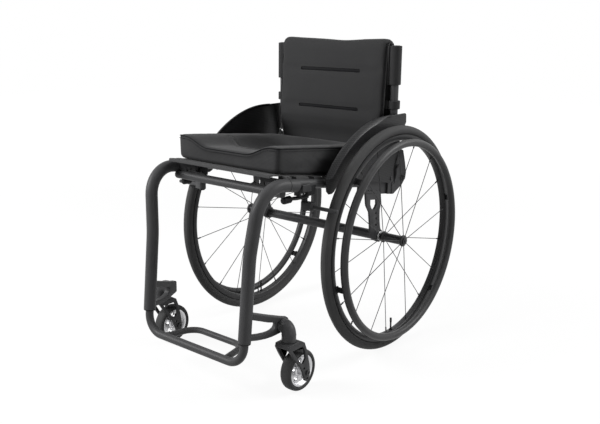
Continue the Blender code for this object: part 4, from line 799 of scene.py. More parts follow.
def makeCasterHub():
    half = [(0.0125, 0.0389), (0.0127, 0.0362), (0.0118, 0.0346), (0.0070, 0.0318), (0.0050, 0.0300),
            (0.0048, 0.0150), (0.0070, 0.0118), (0.0120, 0.0104), (0.0215, 0.0088), (0.0222, 0.0080),
            (0.0222, 0.0046)]
    profile = [(-w, r) for w, r in half] + [(w, r) for w, r in reversed(half)]
    hub = lathe("casterHub", profile, casterCentre, steps=80)
    cutters = []
    for number in range(5):
        angle = math.radians(18 + number * 72)
        at = casterCentre + Vector((0, 0.0222 * math.cos(angle), 0.0222 * math.sin(angle)))
        cutters.append(
            rodBetween("window", at - Vector((0.02, 0, 0)), at + Vector((0.02, 0, 0)), 0.0074, 28)
        )
    cutAway(hub, *cutters)
    return softenEdges(hub, 0.0005, 2, 40)


def makeCasterBolt():
    reach, head = 0.0289, 0.0324
    profile = [
        (-head, 0.0022), (-head, 0.0058), (-head + 0.0006, 0.0065), (-reach, 0.0065), (-reach, 0.0040),
        (reach, 0.0040), (reach, 0.0065), (head - 0.0006, 0.0065), (head, 0.0058), (head, 0.0022),
        (head - 0.0018, 0.0022), (head - 0.0018, 0.0002), (-head + 0.0018, 0.0002),
        (-head + 0.0018, 0.0022)
    ]
    return lathe("casterBolt", profile, casterCentre, steps=32)


housingShape = {"toe": 16.36, "footZ": 0.1320, "elbowZ": 0.1680, "reach": 0.0232, "drop": 0.0060,
                "bend": 0.0155, "radius": 0.0168, "seamZ": 0.1470}


def makeHousing(shape):
    x, y = casterShape["x"], casterShape["swivelY"]
    toe = math.radians(shape["toe"])
    elbow = place(x, y, shape["elbowZ"])
    inward = Vector((-math.cos(toe), math.sin(toe), 0))
    end = elbow + inward * shape["reach"] - Vector((0, 0, shape["drop"]))
    path = roundPath([place(x, y, shape["footZ"]), elbow, end], (shape["bend"],), 12)
    body = sweepTube("casterHousing", path, shape["radius"], 36)
    collar = lathe(
        "collar",
        [
            (0.0, 0.0166), (0.0004, 0.0170), (0.0070, 0.0170), (0.0074, 0.0166), (0.0074, 0.0120),
            (0.0, 0.0120)
        ], place(x, y, shape["footZ"]), "Z", 48
    )
    seam = lathe(
        "seam", [(0.0, 0.0160), (0.0, 0.0171), (0.0006, 0.0174), (0.0012, 0.0171), (0.0012, 0.0160)],
        place(x, y, shape["seamZ"]), "Z", 48
    )
    return joinPieces([body, collar, seam], "casterHousing")


fitPair(makeCasterTyre(), "caster_wheel", "tyreRubber", "caster_tyre")
fitPair(makeCasterHub(), "caster_wheel", "polishedAluminium", "caster_hub")
fitPair(makeCasterBolt(), "fork", "plateAnodised", "caster_axle")
fitPair(copyNode("casterFork", "caster_fork_left", 0.0009, 3), "fork", "plateAnodised", "caster_fork")
fitPair(makeHousing(housingShape), "frame", "framePaint", "caster_housing")
print("casters ready")

# Frame tubes

legShape = {"radius": 0.015, "x": 0.164, "kneeY": -0.464, "kneeZ": 0.3349, "lean": 0.0957, "footZ": 0.139,
            "cornerY": -0.4471, "cornerZ": 0.4962, "kneeBend": 0.30, "cornerBend": 0.070, "endY": -0.3306,
            "boreRadius": 0.0135, "boreDepth": 0.150, "seamY": -0.362,
            "seamHalf": 0.0009, "seamRadius": 0.0138}
railShape = {"x": 0.184, "radius": 0.011, "slope": 0.1423, "lift": 0.004, "endY": 0.0435}


def legY(height):
    return legShape["kneeY"] - legShape["lean"] * (legShape["kneeZ"] - height)


def sleeveZ(y):
    return legShape["cornerZ"] - railShape["slope"] * (y - legShape["cornerY"])


def railZ(y):
    return sleeveZ(y) + railShape["lift"]


def makeLeg(shape):
    x, railX = shape["x"], railShape["x"]
    foot = place(x, legY(shape["footZ"]), shape["footZ"])
    upward = Vector((0, shape["lean"], 1)).normalized()
    path = roundPath(
        [foot, place(x, shape["kneeY"], shape["kneeZ"]), place(railX, shape["cornerY"], shape["cornerZ"]),
         place(railX, shape["endY"], sleeveZ(shape["endY"]))],
        (shape["kneeBend"], shape["cornerBend"]), 12,
    )
    leg = sweepTube("legTube", path, shape["radius"], 40)
    boreEnd = foot + upward * shape["boreDepth"]
    cutAway(leg, rodBetween("bore", foot - upward * 0.01, boreEnd, shape["boreRadius"], 40))
    alongRail = Vector((0, 1, -railShape["slope"])).normalized()
    seamAt = place(railX, shape["seamY"], sleeveZ(shape["seamY"]))
    groove = rodBetween("groove", seamAt - alongRail * shape["seamHalf"],
                        seamAt + alongRail * shape["seamHalf"], 0.018, 40)
    core = rodBetween(
        "core", seamAt - alongRail * 0.004, seamAt + alongRail * 0.004, shape["seamRadius"], 40
    )
    cutAway(groove, core)
    cutAway(leg, groove)
    smoothBelow(50)
    return leg


bushShape = {
    "length": 0.040, "radius": 0.0132, "boreRadius": 0.0104, "lipRadius": 0.0148, "lipDrop": 0.0028,
    "lipRise": 0.0005
}


def makeBush(shape):
    foot = place(legShape["x"], legY(legShape["footZ"]), legShape["footZ"])
    upward = Vector((0, legShape["lean"], 1)).normalized()
    bush = rodBetween("legBush", foot, foot + upward * shape["length"], shape["radius"], 40)
    lip = rodBetween("lip", foot - upward * shape["lipDrop"], foot + upward * shape["lipRise"],
                     shape["lipRadius"], 40, 0.0008)
    for piece in (bush, lip):
        ends = foot - upward * 0.01, foot + upward * 0.05
        cutAway(piece, rodBetween("bore", *ends, shape["boreRadius"], 40))
    return joinPieces([bush, lip], "legBush")


armShape = {
    "toe": 16.36, "height": 0.1700, "thickness": 0.016,
    "outline": [(0.0040, 0.2105), (0.0138, 0.2077), (0.0406, 0.1987), (0.0604, 0.1921), (0.0955, 0.1813),
                (0.1056, 0.1788), (0.1100, 0.1776), (0.1113, 0.1764), (0.1113, 0.1505), (0.1085, 0.1480),
                (0.0894, 0.1448), (0.0775, 0.1420), (0.0658, 0.1398), (0.0497, 0.1385), (0.0285, 0.1393),
                (0.0040, 0.1428)],
    "window": [(0.0040, 0.1955), (0.0144, 0.1915), (0.0340, 0.1847), (0.0551, 0.1772), (0.0700, 0.1738),
               (0.0742, 0.1724), (0.0762, 0.1697), (0.0767, 0.1655), (0.0757, 0.1612), (0.0728, 0.1574),
               (0.0680, 0.1543), (0.0600, 0.1518), (0.0497, 0.1507), (0.0340, 0.1512), (0.0200, 0.1526),
               (0.0040, 0.1545)],
}


def makeCasterArm(shape):
    # drawn straight back from the leg, then turned out by the toe angle
    half = shape["thickness"] / 2
    arm = cutPlate("casterArm", shape["outline"], "Y", -half, half, 0)
    window = cutPlate("window", shape["window"], "Y", -0.02, 0.02, 0)
    cutAway(arm, window)
    x, height = legShape["x"], shape["height"]
    arm.data.transform(Matrix.Translation((x, legY(height) + axleY, 0))
                       @ Matrix.Rotation(math.radians(90 - shape["toe"]), 4, "Z")
                       @ Matrix.Translation((0, -axleY, 0)))
    softenEdges(arm, 0.0024, 4, 35)
    foot, head = place(x, legY(0.10), 0.10), place(x, legY(0.25), 0.25)
    cutAway(arm, rodBetween("saddle", foot, head, legShape["radius"] - 0.0003, 48))
    smoothBelow(40)
    return arm


crossShape = {"z": 0.4650, "radius": 0.0105}


def makeRail(shape):
    startY = legShape["endY"] + 0.0009
    return rodBetween("seatRail", place(shape["x"], startY, railZ(startY)),
                      place(shape["x"], shape["endY"], railZ(shape["endY"])), shape["radius"], 32, 0.0006)


fitPair(makeLeg(legShape), "frame", "framePaint", "leg_tube")
fitPair(makeBush(bushShape), "frame", "blackPlastic", "leg_bush")
fitPair(makeCasterArm(armShape), "frame", "framePaint", "caster_arm")
fitPair(makeRail(railShape), "frame", "framePaint", "seat_rail")
crossTube = copyNode("frontCrossTube", "front_cross_tube", 0)
for side in (-1, 1):
    for inner, outer, low, high in ((0.0900, 0.1080, 0.4790, 0.5050), (0.1215, 0.1415, 0.4772, 0.4862)):
        lowX, highX = sorted((side * inner, side * outer))
        gap = roundedBlock("gap", place(lowX, -0.380, low), place(highX, -0.354, high), 0.0030)
        cutAway(crossTube, gap)
softenEdges(crossTube, 0.0005, 2, 35, 50)
fit(crossTube, "frame", "framePaint", "front_cross_tube")
# the faces high on the cross tube and its gussets take the near-black plastic: painted shade under the sling
crossTube.data.materials.append(finishes["blackPlastic"])
for face in crossTube.data.polygons:
    face.material_index = 1 if face.center.z > crossShape["z"] + crossShape["radius"] - 0.0015 else 0
camber = rodBetween("camberTube", place(-0.1958, 0, axleZ), place(0.1958, 0, axleZ), 0.0125, 40, 0.0008)
fit(camber, "frame", "framePaint", "camber_tube")
plateShape = {
    "outerX": 0.1963, "thickness": 0.0056, "blockDrop": 0.028, "boreRadius": 0.0127, "holeRadius": 0.0030,
    "stem": [
        (-0.0688, 0.4260), (-0.0686, 0.4180), (-0.0655, 0.3960), (-0.0632, 0.3868), (-0.0560, 0.3765),
        (-0.0500, 0.3680), (-0.0478, 0.3560), (-0.0455, 0.3403), (-0.0425, 0.3080), (-0.0408, 0.3005),
        (-0.0370, 0.2950), (-0.0300, 0.2903), (-0.0200, 0.2858), (-0.0110, 0.2815)
    ],
    "rear": [
        (0.0115, 0.3075), (0.0050, 0.3120), (0.0016, 0.3200), (-0.0010, 0.3350), (-0.0026, 0.3560),
        (-0.0024, 0.3670), (0.0008, 0.3765), (0.0004, 0.3860), (-0.0020, 0.4000), (-0.0026, 0.4180)
    ],
    "window": [
        (-0.0470, 0.4000), (-0.0195, 0.3965), (-0.0185, 0.3840), (-0.0245, 0.3755), (-0.0298, 0.3724),
        (-0.0345, 0.3722), (-0.0395, 0.3750), (-0.0432, 0.3800), (-0.0470, 0.3880)
    ], "holes": [(-0.0206, 0.3610), (-0.0186, 0.3455), (-0.0180, 0.3285)]
}


def makeAxlePlate(shape):
    # the block on the rail keeps the solid's form; the stem below it is drawn again with its waist and holes
    low = [(y, railZ(y) - shape["blockDrop"] - 0.0001) for y in (-0.11, 0.06)]
    block = copyNode("axlePlate", "axle_plate_left", 0)
    cutAway(block, cutPlate("below", low + [(0.06, 0.24), (-0.11, 0.24)], "X", 0.15, 0.22, 0))
    softenEdges(block, 0.0009, 2, 28)
    outline = shape["stem"] + arcPoints(0.0165, -105, 15, 10, (0, axleZ)) + shape["rear"]
    inner, outer = shape["outerX"] - shape["thickness"], shape["outerX"]
    stem = cutPlate("stem", outline, "X", inner, outer, 0)
    cutAway(stem, cutPlate("window", shape["window"], "X", inner - 0.01, outer + 0.01, 0))
    for spot in shape["holes"]:
        ends = place(inner - 0.01, *spot), place(outer + 0.01, *spot)
        cutAway(stem, rodBetween("hole", *ends, shape["holeRadius"], 20))
    cutAway(stem, rodBetween("bore", place(inner - 0.01, 0, axleZ), place(outer + 0.01, 0, axleZ),
                             shape["boreRadius"], 40))
    softenEdges(stem, 0.0005, 2, 35)
    return joinPieces([block, stem], "axlePlate")


fitPair(makeAxlePlate(plateShape), "frame", "plateAnodised", "axle_plate")
bracket = copyNode("backBracket", "back_bracket_left", 0)
bracketGaps = (((0.0650, 0.4765), (0.0540, 0.4630), 0.0034), ((0.0655, 0.5150), (0.0705, 0.5030), 0.0020),
               ((0.0490, 0.4300), (0.0505, 0.4420), 0.0020))
for start, end, radius in bracketGaps:
    slot = []
    for spot in (start, end):
        slot.append(rodBetween("slot", place(0.165, *spot), place(0.215, *spot), radius, 20))
    along = (Vector(end) - Vector(start)).normalized() * radius
    across = Vector((-along.y, along.x))
    outline = [Vector(start) + across, Vector(end) + across, Vector(end) - across, Vector(start) - across]
    slot.append(cutPlate("slot", [tuple(spot) for spot in outline], "X", 0.165, 0.215, 0))
    cutAway(bracket, *slot)
softenEdges(bracket, 0.0004, 2, 35)
fitPair(bracket, "frame", "plateAnodised", "back_bracket")

postShape = {"x": 0.1886, "y": 0.0569, "radius": 0.011, "topZ": 0.7860, "bendZ": 0.600, "bend": 0.20,
             "footZ": 0.4260, "pivotY": 0.0859, "pivotZ": 0.4404}


def makePost(shape):
    slope = (shape["pivotY"] - shape["y"]) / (shape["bendZ"] - shape["pivotZ"])
    footY = shape["pivotY"] + slope * (shape["pivotZ"] - shape["footZ"])
    path = roundPath(
        [
            place(shape["x"], footY, shape["footZ"]), place(shape["x"], shape["y"], shape["bendZ"]),
            place(shape["x"], shape["y"], shape["topZ"])
        ], (shape["bend"],), 10
    )
    post = sweepTube("backPost", path, shape["radius"], 36)
    return softenEdges(post, 0.0008, 2, 60, 50)


def makePivot(shape):
    profile = [
        (0.1733, 0.0002), (0.1733, 0.0070), (0.1743, 0.0080), (0.1773, 0.0080), (0.1773, 0.0050),
        (0.2043, 0.0050), (0.2043, 0.0080), (0.2066, 0.0080), (0.2076, 0.0071), (0.2076, 0.0040),
        (0.2062, 0.0036), (0.2062, 0.0002)
    ]
    return lathe("backPivot", profile, place(0, shape["pivotY"], shape["pivotZ"]), steps=40)


fitPair(makePost(postShape), "back", "framePaint", "back_post")
fitPair(makePivot(postShape), "frame", "blackPlastic", "back_pivot")

# Footrest

footShape = {
    "radius": 0.010, "z": 0.083, "topZ": 0.250, "bend": 0.046, "loopRadius": 0.0078, "loopFrontX": 0.104,
    "loopRearX": 0.085, "loopRearY": -0.404, "loopBend": 0.040
}


def makeHoop(shape):
    x, z = legShape["x"], shape["z"]
    top, low = legY(shape["topZ"]), legY(z)
    path = roundPath([place(-x, top, shape["topZ"]), place(-x, low, z), place(x, low, z),
                      place(x, top, shape["topZ"])], (shape["bend"], shape["bend"]), 14)
    return sweepTube("footrestHoop", path, shape["radius"], 36)


def makeLoop(shape):
    frontY, z = legY(shape["z"]), shape["z"]
    path = roundPath(
        [
            place(-shape["loopFrontX"], frontY, z), place(-shape["loopRearX"], shape["loopRearY"], z),
            place(shape["loopRearX"], shape["loopRearY"], z), place(shape["loopFrontX"], frontY, z)
        ], (shape["loopBend"], shape["loopBend"]), 14
    )
    return sweepTube("footrestLoop", path, shape["loopRadius"], 32)


fit(makeHoop(footShape), "footrest", "framePaint", "footrest_front_hoop")
fit(makeLoop(footShape), "footrest", "framePaint", "footrest_rear_loop")

# Brakes

fitPair(copyNode("brakeMount", "brake_mount_left", 0.0010, 3), "frame", "blackPlastic", "brake_mount")
fitPair(copyNode("brakeLever", "brake_lever_left", 0.0008, 2), "lever", "plateAnodised", "brake_lever")
brakeShape = {
    "gripX": 0.168, "gripZ": 0.4455, "gripFrontY": -0.3590, "gripRearY": -0.3320, "gripRadius": 0.0086,
    "screwX": 0.1862, "screwZ": 0.4568, "screwYs": (-0.3122, -0.3002)
}


def makeGrip(shape):
    x, z, radius = shape["gripX"], shape["gripZ"], shape["gripRadius"]
    length = shape["gripRearY"] - shape["gripFrontY"]
    profile = [(0.0, 0.0002), (0.0, 0.0045), (0.0008, 0.0066), (0.0026, radius - 0.0006), (0.0048, radius)]
    for ridge in range(4):
        start = 0.0070 + ridge * 0.0042
        profile += [(start, radius), (start + 0.0006, radius - 0.0008), (start + 0.0014, radius - 0.0008),
                    (start + 0.0020, radius)]
    profile += [(length - 0.0018, radius), (length, radius - 0.0020), (length, 0.0002)]
    return lathe("brakeGrip", profile, place(x, shape["gripFrontY"], z), "Y", 32)


clampShape = {"saddle": ((0.1705, -0.3235, 0.4630), (0.1990, -0.2925, 0.4805)), "saddleBevel": 0.0012,
              "rib": ((0.1670, -0.3180, 0.4516), (0.1856, -0.2900, 0.4640)), "ribBevel": 0.0010}


def makeBrakeClamp(shape):
    # the bracket that grips the rail ahead of the pivot
    blocks = []
    for block in ("saddle", "rib"):
        low, high = shape[block]
        blocks.append(roundedBlock(block, place(*low), place(*high), shape[block + "Bevel"]))
    return joinPieces(blocks, "brakeClamp")


def makeClampScrews(shape):
    parts = []
    for y in shape["screwYs"]:
        head = rodBetween("head", place(shape["screwX"] - 0.0012, y, shape["screwZ"]),
                          place(shape["screwX"] + 0.0008, y, shape["screwZ"]), 0.0026, 20, 0.0005)
        socket = rodBetween("socket", place(shape["screwX"] - 0.0002, y, shape["screwZ"]),
                            place(shape["screwX"] + 0.0030, y, shape["screwZ"]), 0.0013, 6)
        parts.append(cutAway(head, socket))
    return joinPieces(parts, "clampScrews")


fitPair(makeGrip(brakeShape), "lever", "blackPlastic", "brake_grip")
fitPair(makeBrakeClamp(clampShape), "frame", "plateAnodised")
fitPair(makeClampScrews(brakeShape), "frame", "brightSteel")
fitPair(copyNode("brakeArm", "brake_arm_left", 0.0008, 2), "shoe_arm", "plateAnodised", "brake_arm")
print("frame ready")

# Soft goods

def placeRing(piece, ring, before=None):
    # put the selected points, which still lie on the ring before, onto the new ring
    mesh = bmesh.from_edit_mesh(piece.data)
    selected = [vert for vert in mesh.verts if vert.select]
    if before is None:
        selected.sort(key=lambda vert: vert.index)
        for vert, point in zip(selected, ring):
            vert.co = point
    else:
        order = {tuple(round(c, 6) for c in point): number for number, point in enumerate(before)}
        for vert in selected:
            vert.co = ring[order[tuple(round(c, 6) for c in vert.co)]]
    bmesh.update_edit_mesh(piece.data)


def stackRings(name, rings, smoothAngle=60):
    deselectAll()
    bpy.ops.mesh.primitive_circle_add(vertices=len(rings[0]), radius=0.1)
    piece = bpy.context.object
    piece.name = name
    editAll()
    rings = [[Vector(tuple(round(c, 6) for c in point)) for point in ring] for ring in rings]
    placeRing(piece, rings[0])
    bpy.ops.mesh.edge_face_add()
    for before, ring in zip(rings, rings[1:]):
        bpy.ops.mesh.extrude_region_move(TRANSFORM_OT_translate={"value": (0, 0, 0)})
        placeRing(piece, ring, before)
    return settleMesh(piece, smoothAngle, 0.000001)


puffSetup = {"voxel": 0.005, "pressure": 4.0, "frames": 20}


def puffUp(piece, cap, share):
    # cloth blown up from the inside; share(point) says how much of the cap a point may move
    applyModifier(piece, "REMESH", mode="VOXEL", voxel_size=puffSetup["voxel"])
    rest = [vert.co.copy() for vert in piece.data.vertices]
    cloth = piece.modifiers.new("cloth", "CLOTH")
    cloth.settings.use_pressure = True
    cloth.settings.uniform_pressure_force = puffSetup["pressure"]
    cloth.settings.effector_weights.gravity = 0
    cloth.point_cache.frame_start = 1
    cloth.point_cache.frame_end = puffSetup["frames"]
    for step in range(1, puffSetup["frames"] + 1):
        bpy.context.scene.frame_set(step)
    blown = piece.evaluated_get(bpy.context.evaluated_depsgraph_get())
    moved = [vert.co.copy() for vert in blown.data.vertices]
    piece.modifiers.remove(cloth)
    bpy.context.scene.frame_set(1)
    for vert, start, end in zip(piece.data.vertices, rest, moved):
        shift = end - start
        limit = cap * share(start)
        if shift.length > limit:
            shift = shift.normalized() * limit
        vert.co = start + shift
    applyModifier(piece, "SMOOTH", factor=0.5, iterations=2)
    applyModifier(piece, "SUBSURF", levels=1, render_levels=1)
    bpy.ops.object.shade_smooth()
    return piece


def stitchRow(name, points, length=0.0034, gap=0.0022, radius=0.00055):
    # one thread, copied along the row
    thread = rodBetween("thread", (-length / 2, 0, 0), (length / 2, 0, 0), radius, 6, 0.0002)
    copies = []
    carried = 0.0
    for here, there in zip(points, points[1:]):
        here, there = Vector(here), Vector(there)
        reach = (there - here).length
        direction = (there - here).normalized()
        while carried < reach:
            one = bpy.data.objects.new(name, thread.data.copy())
            bpy.context.scene.collection.objects.link(one)
            turn = direction.to_track_quat("X", "Z").to_matrix().to_4x4()
            one.data.transform(Matrix.Translation(here + direction * carried) @ turn)
            copies.append(one)
            carried += length + gap
        carried -= reach
    bpy.data.objects.remove(thread)
    return joinPieces(copies, name)


def smoothShare(value):
    share = min(1.0, max(0.0, value))
    return share * share * (3 - 2 * share)


cushionShape = {
    "halfWidth": 0.1680, "frontY": -0.3727, "rearY": -0.0120, "seamZ": 0.5660, "seamSlope": 0.098,
    "corner": 0.012, "crown": 0.0040, "dip": 0.0230, "dipInner": 0.062, "dipOuter": 0.142, "well": 0.0160,
    "wellY": -0.165, "wellReach": 0.130, "slingFrontY": -0.4001, "slingZ": 0.5111
}


def cushionOutline(shape, inset):
    centreY = (shape["frontY"] + shape["rearY"]) / 2
    halfX = shape["halfWidth"] - inset
    halfY = (shape["rearY"] - shape["frontY"]) / 2 - inset
    corner = min(shape["corner"] + inset * 0.4, halfX * 0.8, halfY * 0.8)
    corners = []
    for quarter, (signX, signY) in enumerate(((1, -1), (1, 1), (-1, 1), (-1, -1))):
        corners.append(arcPoints(corner, -90 + quarter * 90, quarter * 90, 6,
                                 (signX * (halfX - corner), centreY + signY * (halfY - corner))))
    points = []
    for quarter in range(4):
        steps = 30 if quarter % 2 else 24
        start, target = Vector(corners[quarter][-1]), Vector(corners[(quarter + 1) % 4][0])
        points += corners[quarter] + [tuple(start.lerp(target, step / steps)) for step in range(1, steps)]
    return points


def seamHeight(shape, x, y):
    bolster = smoothShare((abs(x) - shape["dipInner"]) / (shape["dipOuter"] - shape["dipInner"]))
    ahead = smoothShare((shape["rearY"] - 0.02 - y) / 0.06)
    fall = shape["seamSlope"] * (y - shape["frontY"])
    return shape["seamZ"] - fall - shape["dip"] * (1 - bolster) * ahead


def topHeight(shape, x, y, rise):
    reach = math.hypot(x, y - shape["wellY"]) / shape["wellReach"]
    well = shape["well"] * smoothShare((1 - reach) / 0.5)
    return seamHeight(shape, x, y) + (shape["crown"] - well) * rise


def slingTop(y):
    return cushionShape["slingZ"] - railShape["slope"] * (y - cushionShape["slingFrontY"])


ridges = (((-0.1120, -0.236), (-0.0985, -0.243), (-0.065, -0.262), (-0.034, -0.278), (-0.008, -0.287),
           (0.018, -0.283), (0.040, -0.277), (0.062, -0.294), (0.080, -0.318), (0.096, -0.342)),
          ((-0.012, -0.196), (0.0, -0.201), (0.033, -0.219), (0.064, -0.228), (0.090, -0.230)))


ridgeShape = {
    "lip": 0.0030, "lipWidth": 0.0040, "groove": 0.0012, "grooveAt": 0.0085, "grooveWidth": 0.0042
}


def ridgeLift(shape, x, y):
    # the raised lips that edge the moulded hollow
    nearest = 1.0
    point = Vector((x, y))
    for line in ridges:
        for start, end in zip(line, line[1:]):
            start, end = Vector(start), Vector(end)
            along = min(1.0, max(0.0, (point - start).dot(end - start) / (end - start).length_squared))
            nearest = min(nearest, (point - start.lerp(end, along)).length)
    lip = shape["lip"] * math.exp(-(nearest / shape["lipWidth"]) ** 2)
    groove = shape["groove"] * math.exp(-((nearest - shape["grooveAt"]) / shape["grooveWidth"]) ** 2)
    return lip - groove


def makeCushion(shape):
    rings = []
    for inset, level in ((0.0135, 0.0), (0.0085, 0.020), (0.0042, 0.060), (0.0016, 0.13), (0.0006, 0.22),
                         (0.0004, 0.40), (0.0004, 0.60), (0.0004, 0.80), (0.0006, 0.92), (0.0014, 0.972)):
        ring = []
        for x, y in cushionOutline(shape, inset):
            base = slingTop(y) + 0.0004
            ring.append(place(x, y, base + (seamHeight(shape, x, y) - base) * level))
        rings.append(ring)
    for inset, lift in ((0.0034, 0.0002), (0.0024, 0.0016), (0.0034, 0.0034)):
        rings.append([place(x, y, seamHeight(shape, x, y) + lift) for x, y in cushionOutline(shape, inset)])
    for inset in (
        0.0065, 0.011, 0.017, 0.024, 0.034, 0.044, 0.056, 0.068, 0.080, 0.092, 0.104, 0.116, 0.128, 0.140,
        0.150, 0.159
    ):
        rise = 0.85 if inset < 0.01 else 1.0
        rings.append([place(x, y, topHeight(shape, x, y, rise)) for x, y in cushionOutline(shape, inset)])
    cushion = stackRings("seatCushion", rings)
    takeUp(cushion)
    editAll()
    bpy.ops.mesh.quads_convert_to_tris()
    bpy.ops.object.mode_set(mode="OBJECT")

    def freedom(point):
        y = point.y - axleY
        aboveSling = smoothShare((point.z - slingTop(y)) / 0.02)
        fromSeam = smoothShare(abs(point.z - seamHeight(shape, point.x, y)) / 0.014)
        return aboveSling * (0.05 + 0.95 * fromSeam)

    puffUp(cushion, 0.0030, freedom)
    for vert in cushion.data.vertices:
        x, y = vert.co.x, vert.co.y - axleY
        if vert.co.z > slingTop(y) + 0.020 and vert.normal.z > 0.6:
            vert.co.z += ridgeLift(ridgeShape, x, y)
    return cushion


def makeCushionSeam(shape):
    # a near-black cord along the seam: painted shade of the seam's groove
    line = []
    for x, y in cushionOutline(shape, 0.0016):
        sunk = 0.0022 * smoothShare((y - shape["rearY"] + 0.016) / 0.010)  # clear of the folded back
        line.append(place(x, y - sunk, seamHeight(shape, x, y) - 0.0004))
    return sweepTube("cushionSeamShade", line, 0.0012, 10, closed=True)


def makeCushionStitches(shape):
    line = [place(x, y, seamHeight(shape, x, y) - 0.0062) for x, y in cushionOutline(shape, 0.0002)]
    return stitchRow("cushionStitches", line + line[:1])


cushion = fit(makeCushion(cushionShape), "frame", "cushionFabric", "cushion", slot="seat_fabric")
fit(makeCushionSeam(cushionShape), "frame", "stitchThread", slot="seat_fabric")
fit(makeCushionStitches(cushionShape), "frame", "stitchThread", slot="seat_fabric")
print("cushion ready")

coverShape = {
    "innerY": 0.0535, "flapInnerY": 0.0575, "flapOuterY": 0.0648, "flapLow": 0.7000, "low": 0.4720,
    "top": 0.7985, "liningTop": 0.7860, "halfWidth": 0.1735, "edge": 0.009, "rimDepth": 0.0095,
    "slitHeight": 0.0092, "slits": ((-0.1000, 0.1000, 0.7190), (-0.1000, 0.1020, 0.6190)),
    "hoodY": 0.0770, "tuckIn": 0.0042,
    "front": (
        (0.472, 0.0328), (0.530, 0.0322), (0.545, 0.0308), (0.558, 0.0256), (0.570, 0.0207),
        (0.582, 0.0188), (0.594, 0.0187), (0.618, 0.0200), (0.661, 0.0230), (0.7245, 0.0269),
        (0.787, 0.0320), (0.810, 0.0335)
    )
}


def coverFront(shape, z):
    for (lowZ, lowY), (highZ, highY) in zip(shape["front"], shape["front"][1:]):
        if z <= highZ:
            return lowY + (highY - lowY) * max(0.0, z - lowZ) / (highZ - lowZ)
    return shape["front"][-1][1]


def coverCrest(shape, x):
    share = abs(x) / shape["halfWidth"]
    corner = max(0.0, (share - 0.90) / 0.10)
    return (shape["top"] + 0.004 * share ** 2 - 0.003 * math.exp(-((x - 0.03) / 0.05) ** 2)
            - 0.009 * (1 - math.sqrt(max(0.0, 1 - corner ** 2))))


def makeCover(shape):
    rings = []
    stations = 52
    for station in range(stations + 1):
        x = shape["halfWidth"] * math.sin((-1 + 2 * station / stations) * math.pi / 2)
        nearEdge = max(0.0, abs(x) - (shape["halfWidth"] - shape["edge"])) / shape["edge"]
        tuck = 1 - math.sqrt(max(0.0, 1 - nearEdge ** 2))
        hollow = smoothShare((abs(x) - 0.156) / 0.006)
        hood = shape["hoodY"] - 0.0030 * tuck
        rear = shape["flapOuterY"] - 0.0020 * tuck
        crest = coverCrest(shape, x)
        belly = 0.0022 * (1 - (x / shape["halfWidth"]) ** 2)
        low = shape["low"] + 0.004 * tuck

        def front(z, back=0.0):
            return coverFront(shape, z) + back + shape["tuckIn"] * tuck

        def inner(z):
            depth = front(z, shape["rimDepth"]) - shape["tuckIn"] * tuck - shape["innerY"]
            return shape["innerY"] + depth * hollow

        lining = shape["liningTop"] + (crest - 0.0060 - shape["liningTop"]) * hollow
        section = [
            (inner(low), low + 0.003), (inner(low) - 0.003, low + 0.0006), (inner(low) - 0.006, low),
            (front(low, 0.005), low), (front(low, 0.0025), low + 0.0015),
            (front(low, 0.001), low + 0.006), (front(0.500), 0.500), (front(0.528), 0.528),
            (front(0.540), 0.540), (front(0.550), 0.550), (front(0.560), 0.560),
            (front(0.572) - belly * 0.3, 0.572), (front(0.590) - belly * 0.7, 0.590),
            (front(0.612) - belly, 0.612), (front(0.640) - belly, 0.640),
            (front(0.668) - belly * 0.9, 0.668), (front(0.705) - belly * 0.7, 0.705),
            (front(0.740) - belly * 0.5, 0.740), (front(0.770), crest - 0.026),
            (front(0.785, 0.0004), crest - 0.016), (front(0.790, 0.002), crest - 0.009),
            (front(0.795, 0.0045), crest - 0.0040), (front(0.800, 0.008), crest - 0.001),
            (0.0480, crest + 0.001), (hood - 0.012, crest - 0.0002), (hood - 0.004, crest - 0.0045),
            (hood, crest - 0.0125), (hood - 0.0005, 0.770), (rear + 0.004, 0.750), (rear, 0.725),
            (rear - 0.0005, shape["flapLow"] + 0.002), (rear - 0.0020, shape["flapLow"]),
            (shape["flapInnerY"], shape["flapLow"]), (shape["flapInnerY"] + 0.0010 * hollow, 0.743),
            (shape["flapInnerY"] + 0.0135 * hollow, lining - 0.006 * hollow), (inner(0.790), lining),
            (inner(0.720), 0.720), (inner(0.650), 0.650), (inner(0.590), 0.590), (inner(0.560), 0.560)
        ]
        rings.append([place(x, y, z) for y, z in section])
    cover = stackRings("backCover", rings, 50)

    def freedom(point):
        y = point.y - axleY
        onFront = smoothShare((coverFront(shape, point.z) + 0.006 - y) / 0.004)
        fromSlit = min(abs(point.z - slit[2]) for slit in shape["slits"])
        return onFront * smoothShare(fromSlit / 0.018) * smoothShare((point.z - 0.575) / 0.02)

    puffUp(cover, 0.0016, freedom)
    cutters = []
    for lowX, highX, z in shape["slits"]:
        half, y = shape["slitHeight"] / 2, coverFront(shape, z)
        cutters.append(
            roundedBlock(
                "slit", place(lowX, y - 0.02, z - half), place(highX, y + 0.0050, z + half), 0.0042, 5
            )
        )
    cutAway(cover, *cutters)
    smoothBelow(50)
    return cover


def makeCoverSlitShade(shape):
    # near-black blocks that line the two slits: painted shade inside them
    parts = []
    for lowX, highX, z in shape["slits"]:
        half, y = shape["slitHeight"] / 2 + 0.0002, coverFront(shape, z)
        parts.append(roundedBlock("lining", place(lowX - 0.0002, y + 0.0004, z - half),
                                  place(highX + 0.0002, y + 0.0054, z + half), 0.0020, 3))
    return joinPieces(parts, "coverSlitShade")


